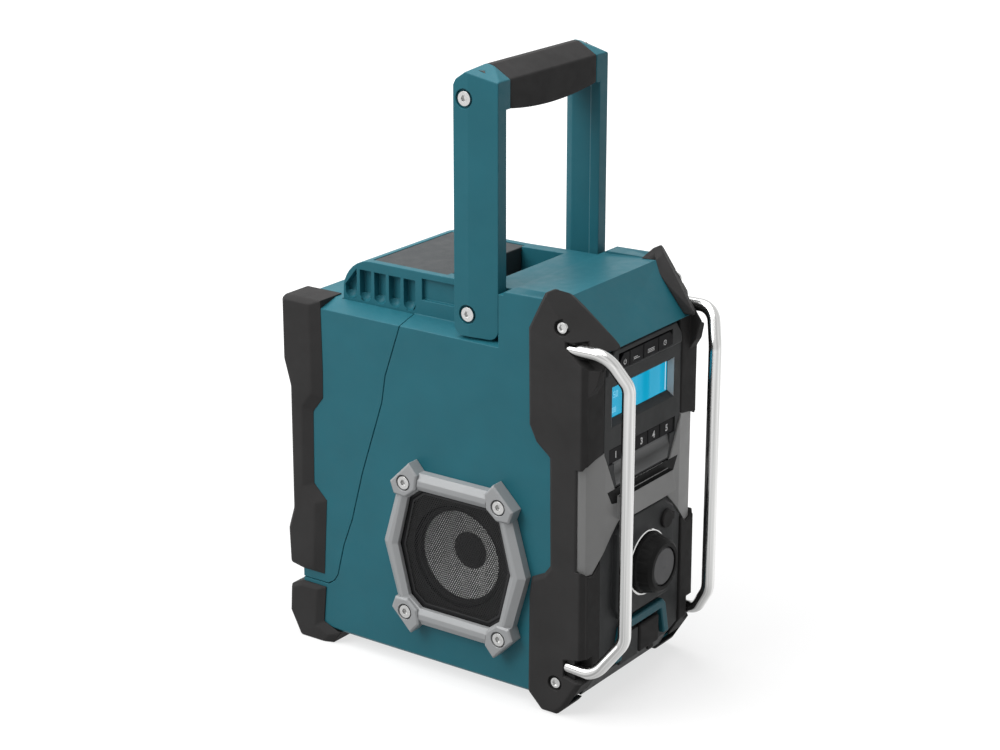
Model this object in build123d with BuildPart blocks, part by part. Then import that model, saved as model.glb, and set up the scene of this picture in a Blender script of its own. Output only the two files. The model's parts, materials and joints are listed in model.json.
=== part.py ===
from build123d import *
import os
from math import atan2, cos, degrees, hypot, pi, radians, sin

# Jobsite radio. -Y is the front (control panel), +Z is up, and +X is the right-hand
# side for someone who faces the control panel. The origin is the centre of the
# footprint, on the surface that the feet stand on. All sizes are in millimetres.

# ---------------------------------------------------------------- driving sizes
front_y = -138.0            # foremost line, the face of the guard bars
rear_y = 138.0              # rearmost line, the face of the rear bumpers
side_x = 66.5               # half width over the teal side faces
bumper_x = 70.0             # half width over the rubber bumpers
frame_x = 77.0              # half width over the speaker frames

body_bottom = 9.0           # underside of the housing
slope_foot, slope_top = -96.0, 24.0     # slope at the foot of the front (Y, Z)
body_front = -104.0         # front face of the housing behind the trim
body_rear = 126.0           # rear face of the housing and door
ledge_out = 246.0           # ledge height at the side face
ledge_in = 250.5            # ledge height at the foot of the rail
wall = 3.0                  # housing wall

rail_x = 50.0               # outer face of the two rails
rail_top = 280.0
rail_rear = 98.0            # rear end of the rails
console_rear = -42.6        # rear wall of the console beside the handle arms
console_top = 281.5
shoulder_top = 284.0
brow_top = (-88.5, 285.0)   # upper edge of the sloped forehead (Y, Z)
brow_foot = (-115.5, 251.5)  # lower edge of the sloped forehead (Y, Z)

slot_depth = 5.5            # vent slots in the rail walls
slot_width = 9.6
slot_pitch = 12.4
slot_first = 41.3           # centre of the foremost slot
slot_count = 5

gap = 0.4                   # running gap between moving shells
seam = 0.5                  # parting gap round the door
slip = 0.05                 # radial clearance of a running shaft

# ------------------------------------------------------------------ handle
pivot_y, pivot_z = -17.2, 263.3
arm_out = 65.4              # outer face of the handle arms
arm_in = 53.5               # inner edge of the arm's front flange
arm_web = 4.5               # thickness of the arm's web
arm_front = -40.0
arm_back = -7.0
arm_flange = 9.0            # depth of the front flange
arm_crease = -18.6          # Y of the crease down the arm's outer face
arm_fall = 2.6              # how far the outer face falls from there to the front
arm_edge = 2.0              # thickness of the web at its back edge
arm_taper = 6.0             # depth over which the web thins to that
arm_foot = 248.5            # lower end of the arm
arm_corner = 7.0            # round on the lower end
arm_sweep = 16.4            # clearance radius below the pivot
hand_top = 425.0            # ridge of the handle
hand_depth = 27.0           # height of the grip from its ends' underside to the ridge
hand_low = hand_top - hand_depth
head_front = hand_top - 8.2     # front edge of the ridge's slope
head_back = hand_top - 12.2     # rear edge of the ridge's slope on the arms
head_fall = 4.0                 # how far the ridge falls to the crease of the outer face
grip_half = 49.0            # half length of the rubber grip
grip_wall = 3.0
grip_sag = 4.0              # how far the grip's belly bows down
bolt_head_r = 4.8
bolt_r = 3.0
bolt_sink = 6.3             # counterbore radius round the bolt heads
hex_socket = 4.0            # width across flats of the hexagon sockets
bush_r = 4.5
boss_r = 9.0                # boss of the arm round its pivot bush
top_bolt_drop = 20.7        # grip bolts below the ridge
top_bolt_y, top_bolt_z = -15.3, hand_top - top_bolt_drop

# ------------------------------------------------------------------ speakers
spk_y, spk_z = -10.7, 93.3  # centre of each loudspeaker on the side face
lug_dy, lug_dz = 38.9, 47.0  # frame screw positions from that centre
mesh_x = 70.2               # outer face of the grille plate
mesh_t = 1.0
cone_r = 31.5
surround_r = 35.6
cap_r = 13.5
basket_hole = 36.0
driver_r = 37.6
driver_hole = 38.0
magnet_r = 25.0
magnet_x = 27.0             # inner end of the magnet

# ------------------------------------------------------------------ guard bars
bar_r = 4.4
bar_x = 53.0                # centre of the upright stretch
bar_y = front_y + bar_r
bar_root_x = 64.6           # centre of the bar where it enters the bumper
bar_top_z, bar_low_z = 254.5, 36.2
bar_bend = 14.0

# ------------------------------------------------------------------ front panel
panel_face = -111.6
brow_face = -113.0          # face of the strip that carries the upper keys
key_travel = 0.8
preset_z = (172.2, 182.2)
preset_x = (-40.0, -22.4, -7.5, 7.5, 22.4, 40.0)
preset_face = -110.8
top_key_z = (235.7, 245.6)
top_key_x = (-32.3, -21.0, -4.5, 13.8, 32.3)
top_key_face = -113.8
key_gap = 0.4
key_flange = 1.2
lcd_half, lcd_z = 37.3, (201.0, 221.5)
lcd_front = -106.7
lens_seat = 0.5             # frame left in front of the display window
lens_t = 1.0
lcd_module_t = 3.4
lcd_bevel_x, lcd_bevel_z = 0.6, 3.6
knob_z = 92.5
knob_r = 20.8
knob_back, knob_front = -117.2, -131.0
module_face = -116.5        # face of the knob surround
cap_knob_r = 13.2
shaft_r = 3.0
ring_r = 22.8
usb_x, dc_x, port_z = 13.5, 2.5, 37.0
flap_x, flap_z = (-4.0, 20.5), (27.0, 47.0)
flap_face, flap_t = -115.2, 3.4

# ------------------------------------------------------------------ door
hinge_y, hinge_z = 130.5, 46.2
hinge_r = 3.9
pin_r = 1.5
door_t = 3.5
cheek_x = side_x - door_t   # inner face of the door's cheeks
core_x = cheek_x - gap      # side face of the housing core inside the door
latch_half = 14.0           # half width of the latch slider
latch_z = (228.0, 242.0)
latch_travel = 3.0
latch_sink = 1.6            # depth of the recess that the slider runs in
latch_proud = 3.5
latch_tongue = 6.0          # half width of the tongue that reaches the catch
tongue_z = (234.5, 238.0)

bay_half, bay_y, bay_z = 46.0, (40.0, 118.5), (50.0, 238.0)
bay_wall = 2.5


# ------------------------------------------------------------------ helpers
def prism_x(points, x0, x1, mode=Mode.ADD):
    """Extrude a (Y, Z) outline from X = x0 to X = x1."""
    with BuildSketch(Plane.YZ.offset(min(x0, x1))) as outline:
        Polygon(*points, align=None)
    extrude(outline.sketch, amount=abs(x1 - x0), dir=(1, 0, 0), mode=mode)


def prism_y(points, y0, y1, mode=Mode.ADD):
    """Extrude an (X, Z) outline from Y = y0 to Y = y1."""
    with BuildSketch(Plane.XZ.offset(-max(y0, y1))) as outline:
        Polygon(*points, align=None)
    extrude(outline.sketch, amount=abs(y1 - y0), dir=(0, -1, 0), mode=mode)


def prism_z(points, z0, z1, mode=Mode.ADD):
    """Extrude an (X, Y) outline from Z = z0 to Z = z1."""
    with BuildSketch(Plane.XY.offset(min(z0, z1))) as outline:
        Polygon(*points, align=None)
    extrude(outline.sketch, amount=abs(z1 - z0), dir=(0, 0, 1), mode=mode)


def block(x0, x1, y0, y1, z0, z1, mode=Mode.ADD):
    """Box between two values on each axis."""
    with Locations(((x0 + x1) / 2, (y0 + y1) / 2, (z0 + z1) / 2)):
        Box(abs(x1 - x0), abs(y1 - y0), abs(z1 - z0), mode=mode)


def tapered_x(points, side, x0, x1, run, mode=Mode.ADD):
    """Extrude a (Y, Z) outline away from the part, drawn in by run over its height."""
    plane = Plane.YZ.offset(side * x0)
    with BuildSketch(plane) as outline:
        Polygon(*points, align=None)
    lean = degrees(atan2(run, x1 - x0))
    extrude(outline.sketch, amount=x1 - x0, dir=(side, 0, 0), taper=lean, mode=mode)


def rod_x(r, x0, x1, y, z, mode=Mode.ADD):
    """Cylinder along X."""
    with Locations(((x0 + x1) / 2, y, z)):
        Cylinder(r, abs(x1 - x0), rotation=(0, 90, 0), mode=mode)


def rod_y(r, y0, y1, x, z, mode=Mode.ADD):
    """Cylinder along Y."""
    with Locations((x, (y0 + y1) / 2, z)):
        Cylinder(r, abs(y1 - y0), rotation=(90, 0, 0), mode=mode)


def rod_z(r, z0, z1, x, y, mode=Mode.ADD):
    """Cylinder along Z."""
    with Locations((x, y, (z0 + z1) / 2)):
        Cylinder(r, abs(z1 - z0), mode=mode)


def turned_x(profile, y, z):
    """Revolve an (X, radius) outline about the X-parallel axis through (y, z)."""
    plane = Plane(origin=(0, y, z), x_dir=(1, 0, 0), z_dir=(0, -1, 0))
    with BuildSketch(plane) as outline:
        Polygon(*profile, align=None)
    axis = Axis((0, y, z), (1, 0, 0))
    revolve(outline.sketch, axis=axis, revolution_arc=360)


def turned_y(profile, x, z, mode=Mode.ADD):
    """Revolve a (radius, -Y) outline about the Y-parallel axis through (x, z)."""
    plane = Plane(origin=(x, 0, z), x_dir=(1, 0, 0), z_dir=(0, 0, 1))
    with BuildSketch(plane) as outline:
        Polygon(*profile, align=None)
    axis = Axis((x, 0, z), (0, 1, 0))
    revolve(outline.sketch, axis=axis, revolution_arc=360, mode=mode)


def hex_points(across, cy, cz):
    """Corners of a hexagon of the given width across flats, centred at (cy, cz)."""
    corner = across / 2 / cos(pi / 6)
    return [
        (cy + corner * cos(pi / 3 * i), cz + corner * sin(pi / 3 * i))
        for i in range(6)
    ]


def socket_bolt_x(side, x_face, head_r, head_t, shank_r, x_end, y, z):
    """Button-head bolt along X: the head's outer face at side * x_face."""
    rod_x(head_r, side * (x_face - head_t), side * x_face, y, z)
    rod_x(shank_r, side * x_end, side * (x_face - head_t), y, z)
    prism_x(
        hex_points(hex_socket, y, z),
        side * (x_face - head_t * 0.7),
        side * (x_face + 1),
        mode=Mode.SUBTRACT,
    )


def mirrored(points):
    """Outline given for +X, completed with its mirror image."""
    return points + [(-x, z) for x, z in reversed(points)]


def save(piece, label):
    """Label one piece and write it as STEP."""
    piece.label = label
    export_step(piece, f"parts/{label}.step")


os.makedirs("parts", exist_ok=True)
sides = ((-1, "left"), (1, "right"))

# ------------------------------------------------------------------ shared outlines
# The door's parting line on the side face, from the ledge to the hinge (Y, Z).
parting = [
    (37.5, ledge_out),
    (50.3, 208.6),
    (53.5, 189.0),
    (71.1, 135.6),
    (81.2, 98.0),
    (89.0, 77.4),
    (95.2, 53.0),
    (98.5, 48.0),
    (103.8, 44.7),
]
door_low = parting[-1][1]
door_top = 262.0
door_zone = parting + [
    (body_rear, door_low),
    (body_rear, door_top),
    (parting[0][0], door_top),
]
core_zone = [(y - seam, z) for y, z in parting[:-1]] + [
    (parting[-1][0] - seam, door_low - seam),
    (body_rear + 20, door_low - seam),
    (body_rear + 20, door_top),
    (parting[0][0] - seam, door_top),
]
core_rear = body_rear - door_t - wall - 0.6
core_top = ledge_out - door_t - gap

# Side outline of the front bumper (Y, Z).
bumper_back = -68.0
bumper_face = -112.0
bumper_flat_low = 200.0     # the bumper's front is upright above this height
# The crest of the upper corner runs from above the forehead down to its foot.
crest_top = (56.3, -90.5, 288.2)
crest_low = (44.0, -121.5, 256.5)
crest_inner = (48.0, -88.1, 284.6)
crest_outer = (bumper_x, -105.5, 255.2)
crest_wall = 2.2            # rubber over the housing's corner
corner_peak = (61.0, 290.6)
inner_slope = 0.48
front_bumper_outline = [
    (bumper_back, 11.0),
    (-79.0, 0.0),
    (-91.0, 0.0),
    (-98.0, 6.5),
    (bumper_face - 1.2, 31.0),
    (bumper_face, bumper_flat_low),
    (bumper_face, 226.0),
    (-116.6, 232.8),
    (-118.8, 242.0),
    (crest_low[1], crest_low[2]),
    (crest_top[1] - 1.5, 290.6),
    (-83.0, 291.0),
    (-79.7, 289.5),
    (bumper_back + 0.8, 264.3),
    (bumper_back, 199.8),
    (-73.5, 188.7),
    (-84.0, 180.0),
    (-84.9, 105.0),
    (-80.4, 99.0),
    (-70.4, 94.1),
    (bumper_back - 0.6, 80.6),
]
grey_top, grey_low = 182.5, 101.0
wing_x = 68.3               # outer edge of the grey wings
panel_half = 46.5
panel_outline = [
    (38.0, 249.5),
    (panel_half, 238.0),
    (panel_half + 0.2, 181.0),
    (34.0, 154.5),
]

# Rear bumper, carried by the door (Y, Z).
rear_bumper_low = 51.0
rear_bumper_top = 251.5
rear_bumper_outline = [
    (106.3, rear_bumper_low),
    (body_rear, rear_bumper_low),
    (rear_y - 1.0, rear_bumper_low + 2.0),
    (rear_y, 80.0),
    (rear_y - 5.0, 96.0),
    (rear_y - 5.4, 186.0),
    (rear_y, 205.0),
    (rear_y, rear_bumper_top - 3),
    (rear_y - 3, rear_bumper_top),
    (104.5, rear_bumper_top),
    (103.8, 202.7),
    (104.2, 182.0),
    (113.0, 170.9),
    (114.0, 117.7),
    (103.0, 107.1),
]
rear_bumper_in = 43.5

# Rear foot, fixed to the housing (Y, Z).
rear_foot_outline = [
    (105.2, 41.5),
    (107.8, 14.5),
    (93.0, 9.0),
    (99.3, 0.0),
    (129.4, 0.0),
    (rear_y, 16.5),
    (rear_y - 1.2, 36.6),
    (body_rear, 41.5),
]

# Speaker frame outline about its centre, one quarter (dY, dZ).
frame_half = 58.5
frame_bar_z = 55.0          # half height over the straight bars
frame_bar_quarter = [(frame_half, 0.0), (44.3, 49.0), (38.0, frame_bar_z)]
frame_hole_quarter = [(46.5, 0.0), (37.6, 35.5), (28.0, 43.0)]
frame_lug = [(47.4, 37.6), (50.6, 46.0), (34.6, 62.0), (27.6, 54.2), (29.0, 43.6), (37.2, 37.0)]
bar_edge_x = 72.6           # height of the bars at their outer edge
bar_ridge_x = 75.6          # height of the bars along their ridge
ridge_out, ridge_in = 4.6, 3.6  # run of the slopes either side of the ridge
bar_lip_x = 73.4            # height of the bars at their inner edge


def full_outline(quarter, grow=0.0):
    """Complete a quarter outline about the speaker's centre, grown outwards."""
    points = []
    for dy, dz in quarter:
        reach = hypot(dy, dz)
        points.append((dy * (reach + grow) / reach, dz * (reach + grow) / reach))
    upper = points + [(-y, z) for y, z in reversed(points) if z > 0]
    if points[0][1] == 0:
        upper.append((-points[0][0], 0.0))
    lower = [(-y, -z) for y, z in upper[1:-1]]
    return [(spk_y + y, spk_z + z) for y, z in upper + lower]


frame_outline = full_outline(frame_bar_quarter)
frame_hole = full_outline(frame_hole_quarter)
frame_screw_points = [
    (spk_y + i * lug_dy, spk_z + j * lug_dz) for i in (-1, 1) for j in (-1, 1)
]


def bar_path(side):
    """Centre line of one guard bar, from its upper root to its lower root."""
    return [
        (side * bar_root_x, -91.0, bar_top_z),
        (side * bar_root_x, -124.5, bar_top_z + 0.6),
        (side * bar_x, bar_y, 233.0),
        (side * bar_x, bar_y, 58.0),
        (side * bar_root_x, -117.5, bar_low_z - 1.6),
        (side * bar_root_x, -91.0, bar_low_z),
    ]


bumper_screw_points = [(-93.5, 269.1), (-90.6, 23.5)]


def make_bar(side):
    """One bent guard bar: a round bar along straight runs and tangent arcs."""
    with BuildPart() as bar:
        with BuildLine() as route:
            FilletPolyline(*bar_path(side), radius=bar_bend)
        start = route.line @ 0
        with BuildSketch(Plane(origin=start, z_dir=route.line % 0)) as section:
            Circle(bar_r)
        sweep(section.sketch, path=route.line)
    return bar.part


bars = {name: make_bar(side) for side, name in sides}
for name, piece in bars.items():
    save(piece, f"guard_bar_{name}")

# ------------------------------------------------------------------ main housing
rail_round = 24.0
rail_outline = [
    (-60.0, core_top - 2),
    (-60.0, console_top),
    (-24.0, console_top - 0.5),
    (14.0, rail_top),
]
for i in range(9):
    turn = radians(90 - i * 10)
    rail_outline.append(
        (
            rail_rear - rail_round + rail_round * cos(turn),
            rail_top - rail_round + rail_round * sin(turn),
        )
    )
rail_outline.append((rail_rear, core_top - 2))

console_outline = [
    (body_front, 240.0),
    (body_front, 250.0),
    brow_foot,
    brow_top,
    (-47.0, shoulder_top),
    (console_rear, 266.0),
    (console_rear, 240.0),
]
console_mid = [
    (body_front, 240.0),
    (body_front, 250.0),
    brow_foot,
    brow_top,
    (console_rear, console_top),
    (console_rear, 240.0),
]


def facet(side, a, b, c):
    """Plane through three corners given for +X, facing up and away from the part."""
    corners = [Vector(side * x, y, z) for x, y, z in (a, b, c)]
    normal = (corners[1] - corners[0]).cross(corners[2] - corners[0])
    return Plane(origin=corners[0], z_dir=normal if normal.Z > 0 else normal * -1)


def corner_wedge(side):
    """What lies above the outer facet of the upper corner, less the rubber over it."""
    inside = facet(side, crest_top, crest_low, crest_outer).offset(-crest_wall)
    with BuildPart() as wedge:
        block(side * 50, side * (side_x + 2), -130, -70, ledge_in, 300)
        split(bisect_by=inside, keep=Keep.TOP)
    return wedge.part


with BuildPart() as main_housing:
    prism_x(
        [
            (slope_foot, body_bottom),
            (body_front, slope_top),
            (body_front, ledge_in),
            (rail_rear, ledge_in),
            (body_rear, ledge_in),
            (body_rear, body_bottom),
        ],
        -side_x,
        side_x,
    )
    lower_edges = main_housing.edges().filter_by(Axis.Y).group_by(Axis.Z)[0]
    chamfer(lower_edges, 2.5)
    # Ledges slope down from the rails to the side faces.
    for side, name in sides:
        prism_y(
            [
                (side * rail_x, ledge_in),
                (side * side_x, ledge_out),
                (side * (side_x + 5), ledge_out),
                (side * (side_x + 5), ledge_in + 5),
                (side * rail_x, ledge_in + 5),
            ],
            console_rear,
            body_rear + 1,
            mode=Mode.SUBTRACT,
        )
    # Everything behind the parting line belongs to the door.
    for side, name in sides:
        prism_x(core_zone, side * core_x, side * (side_x + 5), mode=Mode.SUBTRACT)
        block(
            side * rail_x,
            side * (core_x + 1),
            parting[0][0] - seam,
            body_rear + 1,
            core_top,
            door_top,
            mode=Mode.SUBTRACT,
        )
    block(
        -core_x - 1,
        core_x + 1,
        core_rear,
        body_rear + 1,
        door_low - seam,
        door_top,
        mode=Mode.SUBTRACT,
    )
    block(
        -rail_x - 1,
        rail_x + 1,
        rail_rear,
        body_rear,
        core_top,
        door_top,
        mode=Mode.SUBTRACT,
    )
    # Rails, console and forehead.
    prism_x(rail_outline, -rail_x, rail_x)
    prism_x(console_mid, -side_x, side_x)
    for side, name in sides:
        prism_x(console_outline, side * 52.0, side * side_x)
        add(corner_wedge(side), mode=Mode.SUBTRACT)
    # Round clearance for the lower end of each handle arm, and a flat beside it.
    for side, name in sides:
        rod_x(
            arm_sweep, side * rail_x, side * (side_x + 1), pivot_y, pivot_z,
            mode=Mode.SUBTRACT,
        )
        block(
            side * rail_x, side * (side_x + 1),
            console_rear, arm_back + 3,
            arm_foot - gap, ledge_in + 1,
            mode=Mode.SUBTRACT,
        )
    # Inner space for the loudspeakers and the electronics.
    block(
        -side_x + wall,
        side_x - wall,
        body_front + wall + 0.5,
        parting[0][0] - seam - wall,
        body_bottom + wall,
        ledge_out - wall,
        mode=Mode.SUBTRACT,
    )
    block(
        -core_x + wall,
        core_x - wall,
        0,
        core_rear - wall,
        body_bottom + wall,
        core_top - wall,
        mode=Mode.SUBTRACT,
    )
    prism_x(
        [
            (body_front + wall + 0.5, 240.0),
            (body_front + wall + 0.5, 250.0),
            (brow_foot[0] + 6.0, brow_foot[1] + 2.5),
            (brow_top[0] + 2.0, brow_top[1] - 5.0),
            (-50.0, console_top - wall),
            (-50.0, 240.0),
        ],
        -side_x + 3.5 * wall,
        side_x - 3.5 * wall,
        mode=Mode.SUBTRACT,
    )
    block(-44, 44, -51, -26, 240, console_top - wall - 0.5, mode=Mode.SUBTRACT)
    block(-41, 41, -24, 13, 240, 254, mode=Mode.SUBTRACT)
    block(-41, 41, 17, rail_rear - 6, 240, 270, mode=Mode.SUBTRACT)
    # Open pocket behind the console and the seat of the top panel.
    block(-40, 40, -21.5, 13.6, 257, 290, mode=Mode.SUBTRACT)
    block(-44.6, 44.6, 13.5, 76.0, 276.4, 290, mode=Mode.SUBTRACT)
    block(-41, 41, 13.5, 72.0, 257, 277, mode=Mode.SUBTRACT)
    block(-41, 41, 16.6, 72.0, 250, 262, mode=Mode.SUBTRACT)
    # Vent slots with scooped feet, and a window recess beside the handle.
    for side, name in sides:
        for i in range(slot_count):
            y = slot_first + i * slot_pitch
            top = rail_top - 7.0 - (0 if i < slot_count - 1 else 12.0)
            prism_x(
                [
                    (y - slot_width / 2, ledge_in + 6.0),
                    (y + slot_width / 2, ledge_in + 6.0),
                    (y + slot_width / 2, top),
                    (y - slot_width / 2, rail_top - 7.0),
                ],
                side * (rail_x - slot_depth),
                side * (rail_x + 1),
                mode=Mode.SUBTRACT,
            )
            with Locations((side * rail_x, y, ledge_in + 6.0)):
                Sphere(slot_width / 2, mode=Mode.SUBTRACT)
        prism_x(
            [(4.4, 261.0), (30.8, 261.0), (30.8, 275.5), (4.4, 275.5)],
            side * (rail_x - 3.0),
            side * (rail_x + 1),
            mode=Mode.SUBTRACT,
        )
    # Openings in the front wall for the control panel and the knob.
    block(-40, 40, body_front - 0.5, body_front + 4, 158, 248.6, mode=Mode.SUBTRACT)
    block(-26, 26, body_front - 0.5, body_front + 4, 64, 124, mode=Mode.SUBTRACT)
    block(-30, 30, body_front - 0.5, body_front + 4, 27, 46, mode=Mode.SUBTRACT)
    # Loudspeaker openings and bores for their screws.
    for side, name in sides:
        rod_x(
            driver_hole, side * 50, side * (side_x + 1), spk_y, spk_z,
            mode=Mode.SUBTRACT,
        )
        for y, z in frame_screw_points:
            rod_x(4.2, side * (side_x - 9), side * (side_x - wall), y, z)
            rod_x(1.8, side * (side_x - 9), side * (side_x + 1), y, z, mode=Mode.SUBTRACT)
        for y, z in bumper_screw_points:
            rod_x(1.8, side * (side_x - 8), side * (side_x + 1), y, z, mode=Mode.SUBTRACT)
        rod_x(bolt_r, side * 41, side * (rail_x + 1), pivot_y, pivot_z, mode=Mode.SUBTRACT)
    # Opening for the battery bay.
    block(
        -bay_half - 0.3,
        bay_half + 0.3,
        core_rear - wall - 1,
        core_rear + 1,
        bay_z[0] - 0.3,
        bay_z[1] + 0.3,
        mode=Mode.SUBTRACT,
    )
    # Posts for the main board.
    for x in (-52.0, 52.0):
        for z in (135.0, 225.0):
            rod_y(3.0, body_front + wall, -88.0, x, z)
            rod_y(1.2, -94.0, -88.0, x, z, mode=Mode.SUBTRACT)
    # Hinge ears for the door.
    for side, name in sides:
        x0, x1 = side * 30.0, side * 38.0
        rod_x(hinge_r, x0, x1, hinge_y, hinge_z)
        prism_x(
            [
                (body_rear - 3, door_low - seam - 6),
                (body_rear - 0.01, door_low - seam - 6),
                (hinge_y, hinge_z - hinge_r),
                (hinge_y, hinge_z),
                (body_rear - 3, door_low - seam),
            ],
            x0,
            x1,
        )
    rod_x(pin_r, -39, 39, hinge_y, hinge_z, mode=Mode.SUBTRACT)
    # Sockets for the roots of the guard bars.
    for piece in bars.values():
        add(piece, mode=Mode.SUBTRACT)
save(main_housing.part, "main_housing")

# ------------------------------------------------------------------ top panel
with BuildPart() as top_panel:
    block(-44.4, 44.4, 13.6, 75.8, 276.4, 279.6)
    block(-39.8, 39.8, 13.6, 16.4, 257.0, 276.4)
    chamfer(top_panel.edges().group_by(Axis.Z)[-1], 0.5)
save(top_panel.part, "top_panel")

# ------------------------------------------------------------------ front bumpers
hood_block = BuildPart()
with hood_block:
    prism_x(console_outline, -side_x, side_x)
    for side, name in sides:
        add(corner_wedge(side), mode=Mode.SUBTRACT)

front_bumpers = {}
for side, name in sides:
    with BuildPart() as front_bumper:
        prism_x(front_bumper_outline, side * crest_low[0], side * bumper_x)
        outer = front_bumper.faces().sort_by(Axis.X)[0 if side < 0 else -1]
        chamfer(outer.edges(), 2.6)
        # Facets either side of the crest, and the top that falls inwards.
        split(bisect_by=facet(side, crest_top, crest_low, crest_outer), keep=Keep.BOTTOM)
        split(bisect_by=facet(side, crest_top, crest_low, crest_inner), keep=Keep.BOTTOM)
        prism_y(
            [
                (side * corner_peak[0], corner_peak[1]),
                (side * (corner_peak[0] - 20), corner_peak[1] - 20 * inner_slope),
                (side * (corner_peak[0] - 20), corner_peak[1] + 9),
                (side * corner_peak[0], corner_peak[1] + 9),
            ],
            -130,
            -60,
            mode=Mode.SUBTRACT,
        )
        # Front view: full depth at the feet and at the panel, side plate between.
        prism_y(
            [
                (side * 56.0, -1),
                (side * 80.0, -1),
                (side * 80.0, 300),
                (side * crest_low[0], 300),
                (side * crest_low[0], crest_low[2]),
                (side * 40.0, 252.0),
                (side * (panel_half + 0.5), 238.0),
                (side * (panel_half + 0.5), grey_top + 0.5),
                (side * 62.0, grey_top - 2.4),
                (side * side_x, grey_top - 3.5),
                (side * side_x, grey_low + 3.6),
                (side * 63.9, grey_low + 1.1),
                (side * 57.5, grey_low + 0.5),
                (side * 50.0, grey_low + 6.5),
                (side * 50.0, 8.0),
            ],
            -130,
            -60,
            mode=Mode.INTERSECT,
        )
        # Plan view: the front corner is drawn back towards the side.
        prism_z(
            [
                (side * 40.0, -60),
                (side * 80.0, -60),
                (side * 80.0, -103.0),
                (side * bumper_x, -109.0),
                (side * 66.4, bumper_face + 0.4),
                (side * 62.0, crest_low[1] - 1),
                (side * 40.0, crest_low[1] - 1),
            ],
            -1,
            300,
            mode=Mode.INTERSECT,
        )
        # Pocket for the outer edge of the wing, and the side plate's bevel beside it.
        prism_y(
            [
                (side * (side_x - 0.5), grey_top - 3.4),
                (side * 66.9, grey_top - 3.6),
                (side * (wing_x + 0.2), grey_top - 5.9),
                (side * (wing_x + 0.2), grey_low + 5.4),
                (side * (side_x - 0.5), grey_low + 3.4),
            ],
            -130,
            body_front,
            mode=Mode.SUBTRACT,
        )
        prism_z(
            [
                (side * wing_x, -106.9),
                (side * (bumper_x + 0.1), -105.2),
                (side * 75.0, -105.2),
                (side * 75.0, -130),
                (side * wing_x, -130),
            ],
            grey_low + 5.4,
            grey_top - 5.9,
            mode=Mode.SUBTRACT,
        )
        # The panel side stays flat below the overhanging crest.
        block(
            side * 40, side * 56, -130, bumper_face, bumper_flat_low, 253.5,
            mode=Mode.SUBTRACT,
        )
        # Hollow back that fits over the housing.
        add(main_housing.part, mode=Mode.SUBTRACT)
        block(
            -side_x,
            side_x,
            body_front,
            -50,
            body_bottom,
            ledge_in,
            mode=Mode.SUBTRACT,
        )
        add(hood_block.part, mode=Mode.SUBTRACT)
        # Hollows that let the guard bar run forward out of the side.
        prism_x(
            [(-96.5, 260.5), (-130.0, 260.5), (-130.0, 243.5), (-112.5, 243.5), (-96.5, 256.5)],
            side * 59.8,
            side * 75.0,
            mode=Mode.SUBTRACT,
        )
        prism_x(
            [(-97.0, 42.0), (-130.0, 48.0), (-130.0, 22.0), (-97.0, 30.5)],
            side * 59.8,
            side * 75.0,
            mode=Mode.SUBTRACT,
        )
        for y, z in bumper_screw_points:
            rod_x(5.4, side * (bumper_x - 2.6), side * 72, y, z, mode=Mode.SUBTRACT)
            rod_x(1.8, side * 60, side * 72, y, z, mode=Mode.SUBTRACT)
        add(bars[name], mode=Mode.SUBTRACT)
    largest = front_bumper.part.solids().sort_by(SortBy.VOLUME)[-1]
    front_bumpers[name] = Part(largest.wrapped)
    save(front_bumpers[name], f"front_bumper_{name}")

with BuildPart() as bumper_screws:
    for side, name in sides:
        for y, z in bumper_screw_points:
            socket_bolt_x(side, bumper_x - 0.9, 3.6, 1.7, 1.8, side_x - 7, y, z)
save(bumper_screws.part, "bumper_screws")

# ------------------------------------------------------------------ rear feet
slope_line = 115.0          # rubber edges in front of this line slope to the side face


def bevel_rubber(rubber, side, bevel, slope, boundary):
    """Bevel round the outer face, with a wide slope along the boundary (Y, Z) where
    the rubber meets the teal side."""
    outer = rubber.faces().sort_by(Axis.X)[0 if side < 0 else -1]
    chamfer(outer.edges().filter_by(lambda e: e.center().Y > slope_line), bevel)
    beyond = rear_y + 40
    zone = boundary + [(beyond, boundary[-1][1]), (beyond, boundary[0][1])]
    with BuildPart(mode=Mode.PRIVATE) as limit:
        prism_x(zone, side * (rear_bumper_in - 1), side * (bumper_x - bevel))
        tapered_x(zone, side, bumper_x - bevel, bumper_x, slope)
    add(limit.part, mode=Mode.INTERSECT)


for side, name in sides:
    with BuildPart() as rear_foot:
        prism_x(rear_foot_outline, side * rear_bumper_in, side * bumper_x)
        bevel_rubber(
            rear_foot, side, 2.6, 6.0,
            [(103.5, 60.0), (107.8, 14.5), (93.0, 9.0), (99.3, 0.0), (106.3, -10.0)],
        )
        add(main_housing.part, mode=Mode.SUBTRACT)
        block(-side_x, side_x, 80, body_rear, body_bottom, 60, mode=Mode.SUBTRACT)
    save(rear_foot.part, f"rear_foot_{name}")

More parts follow.
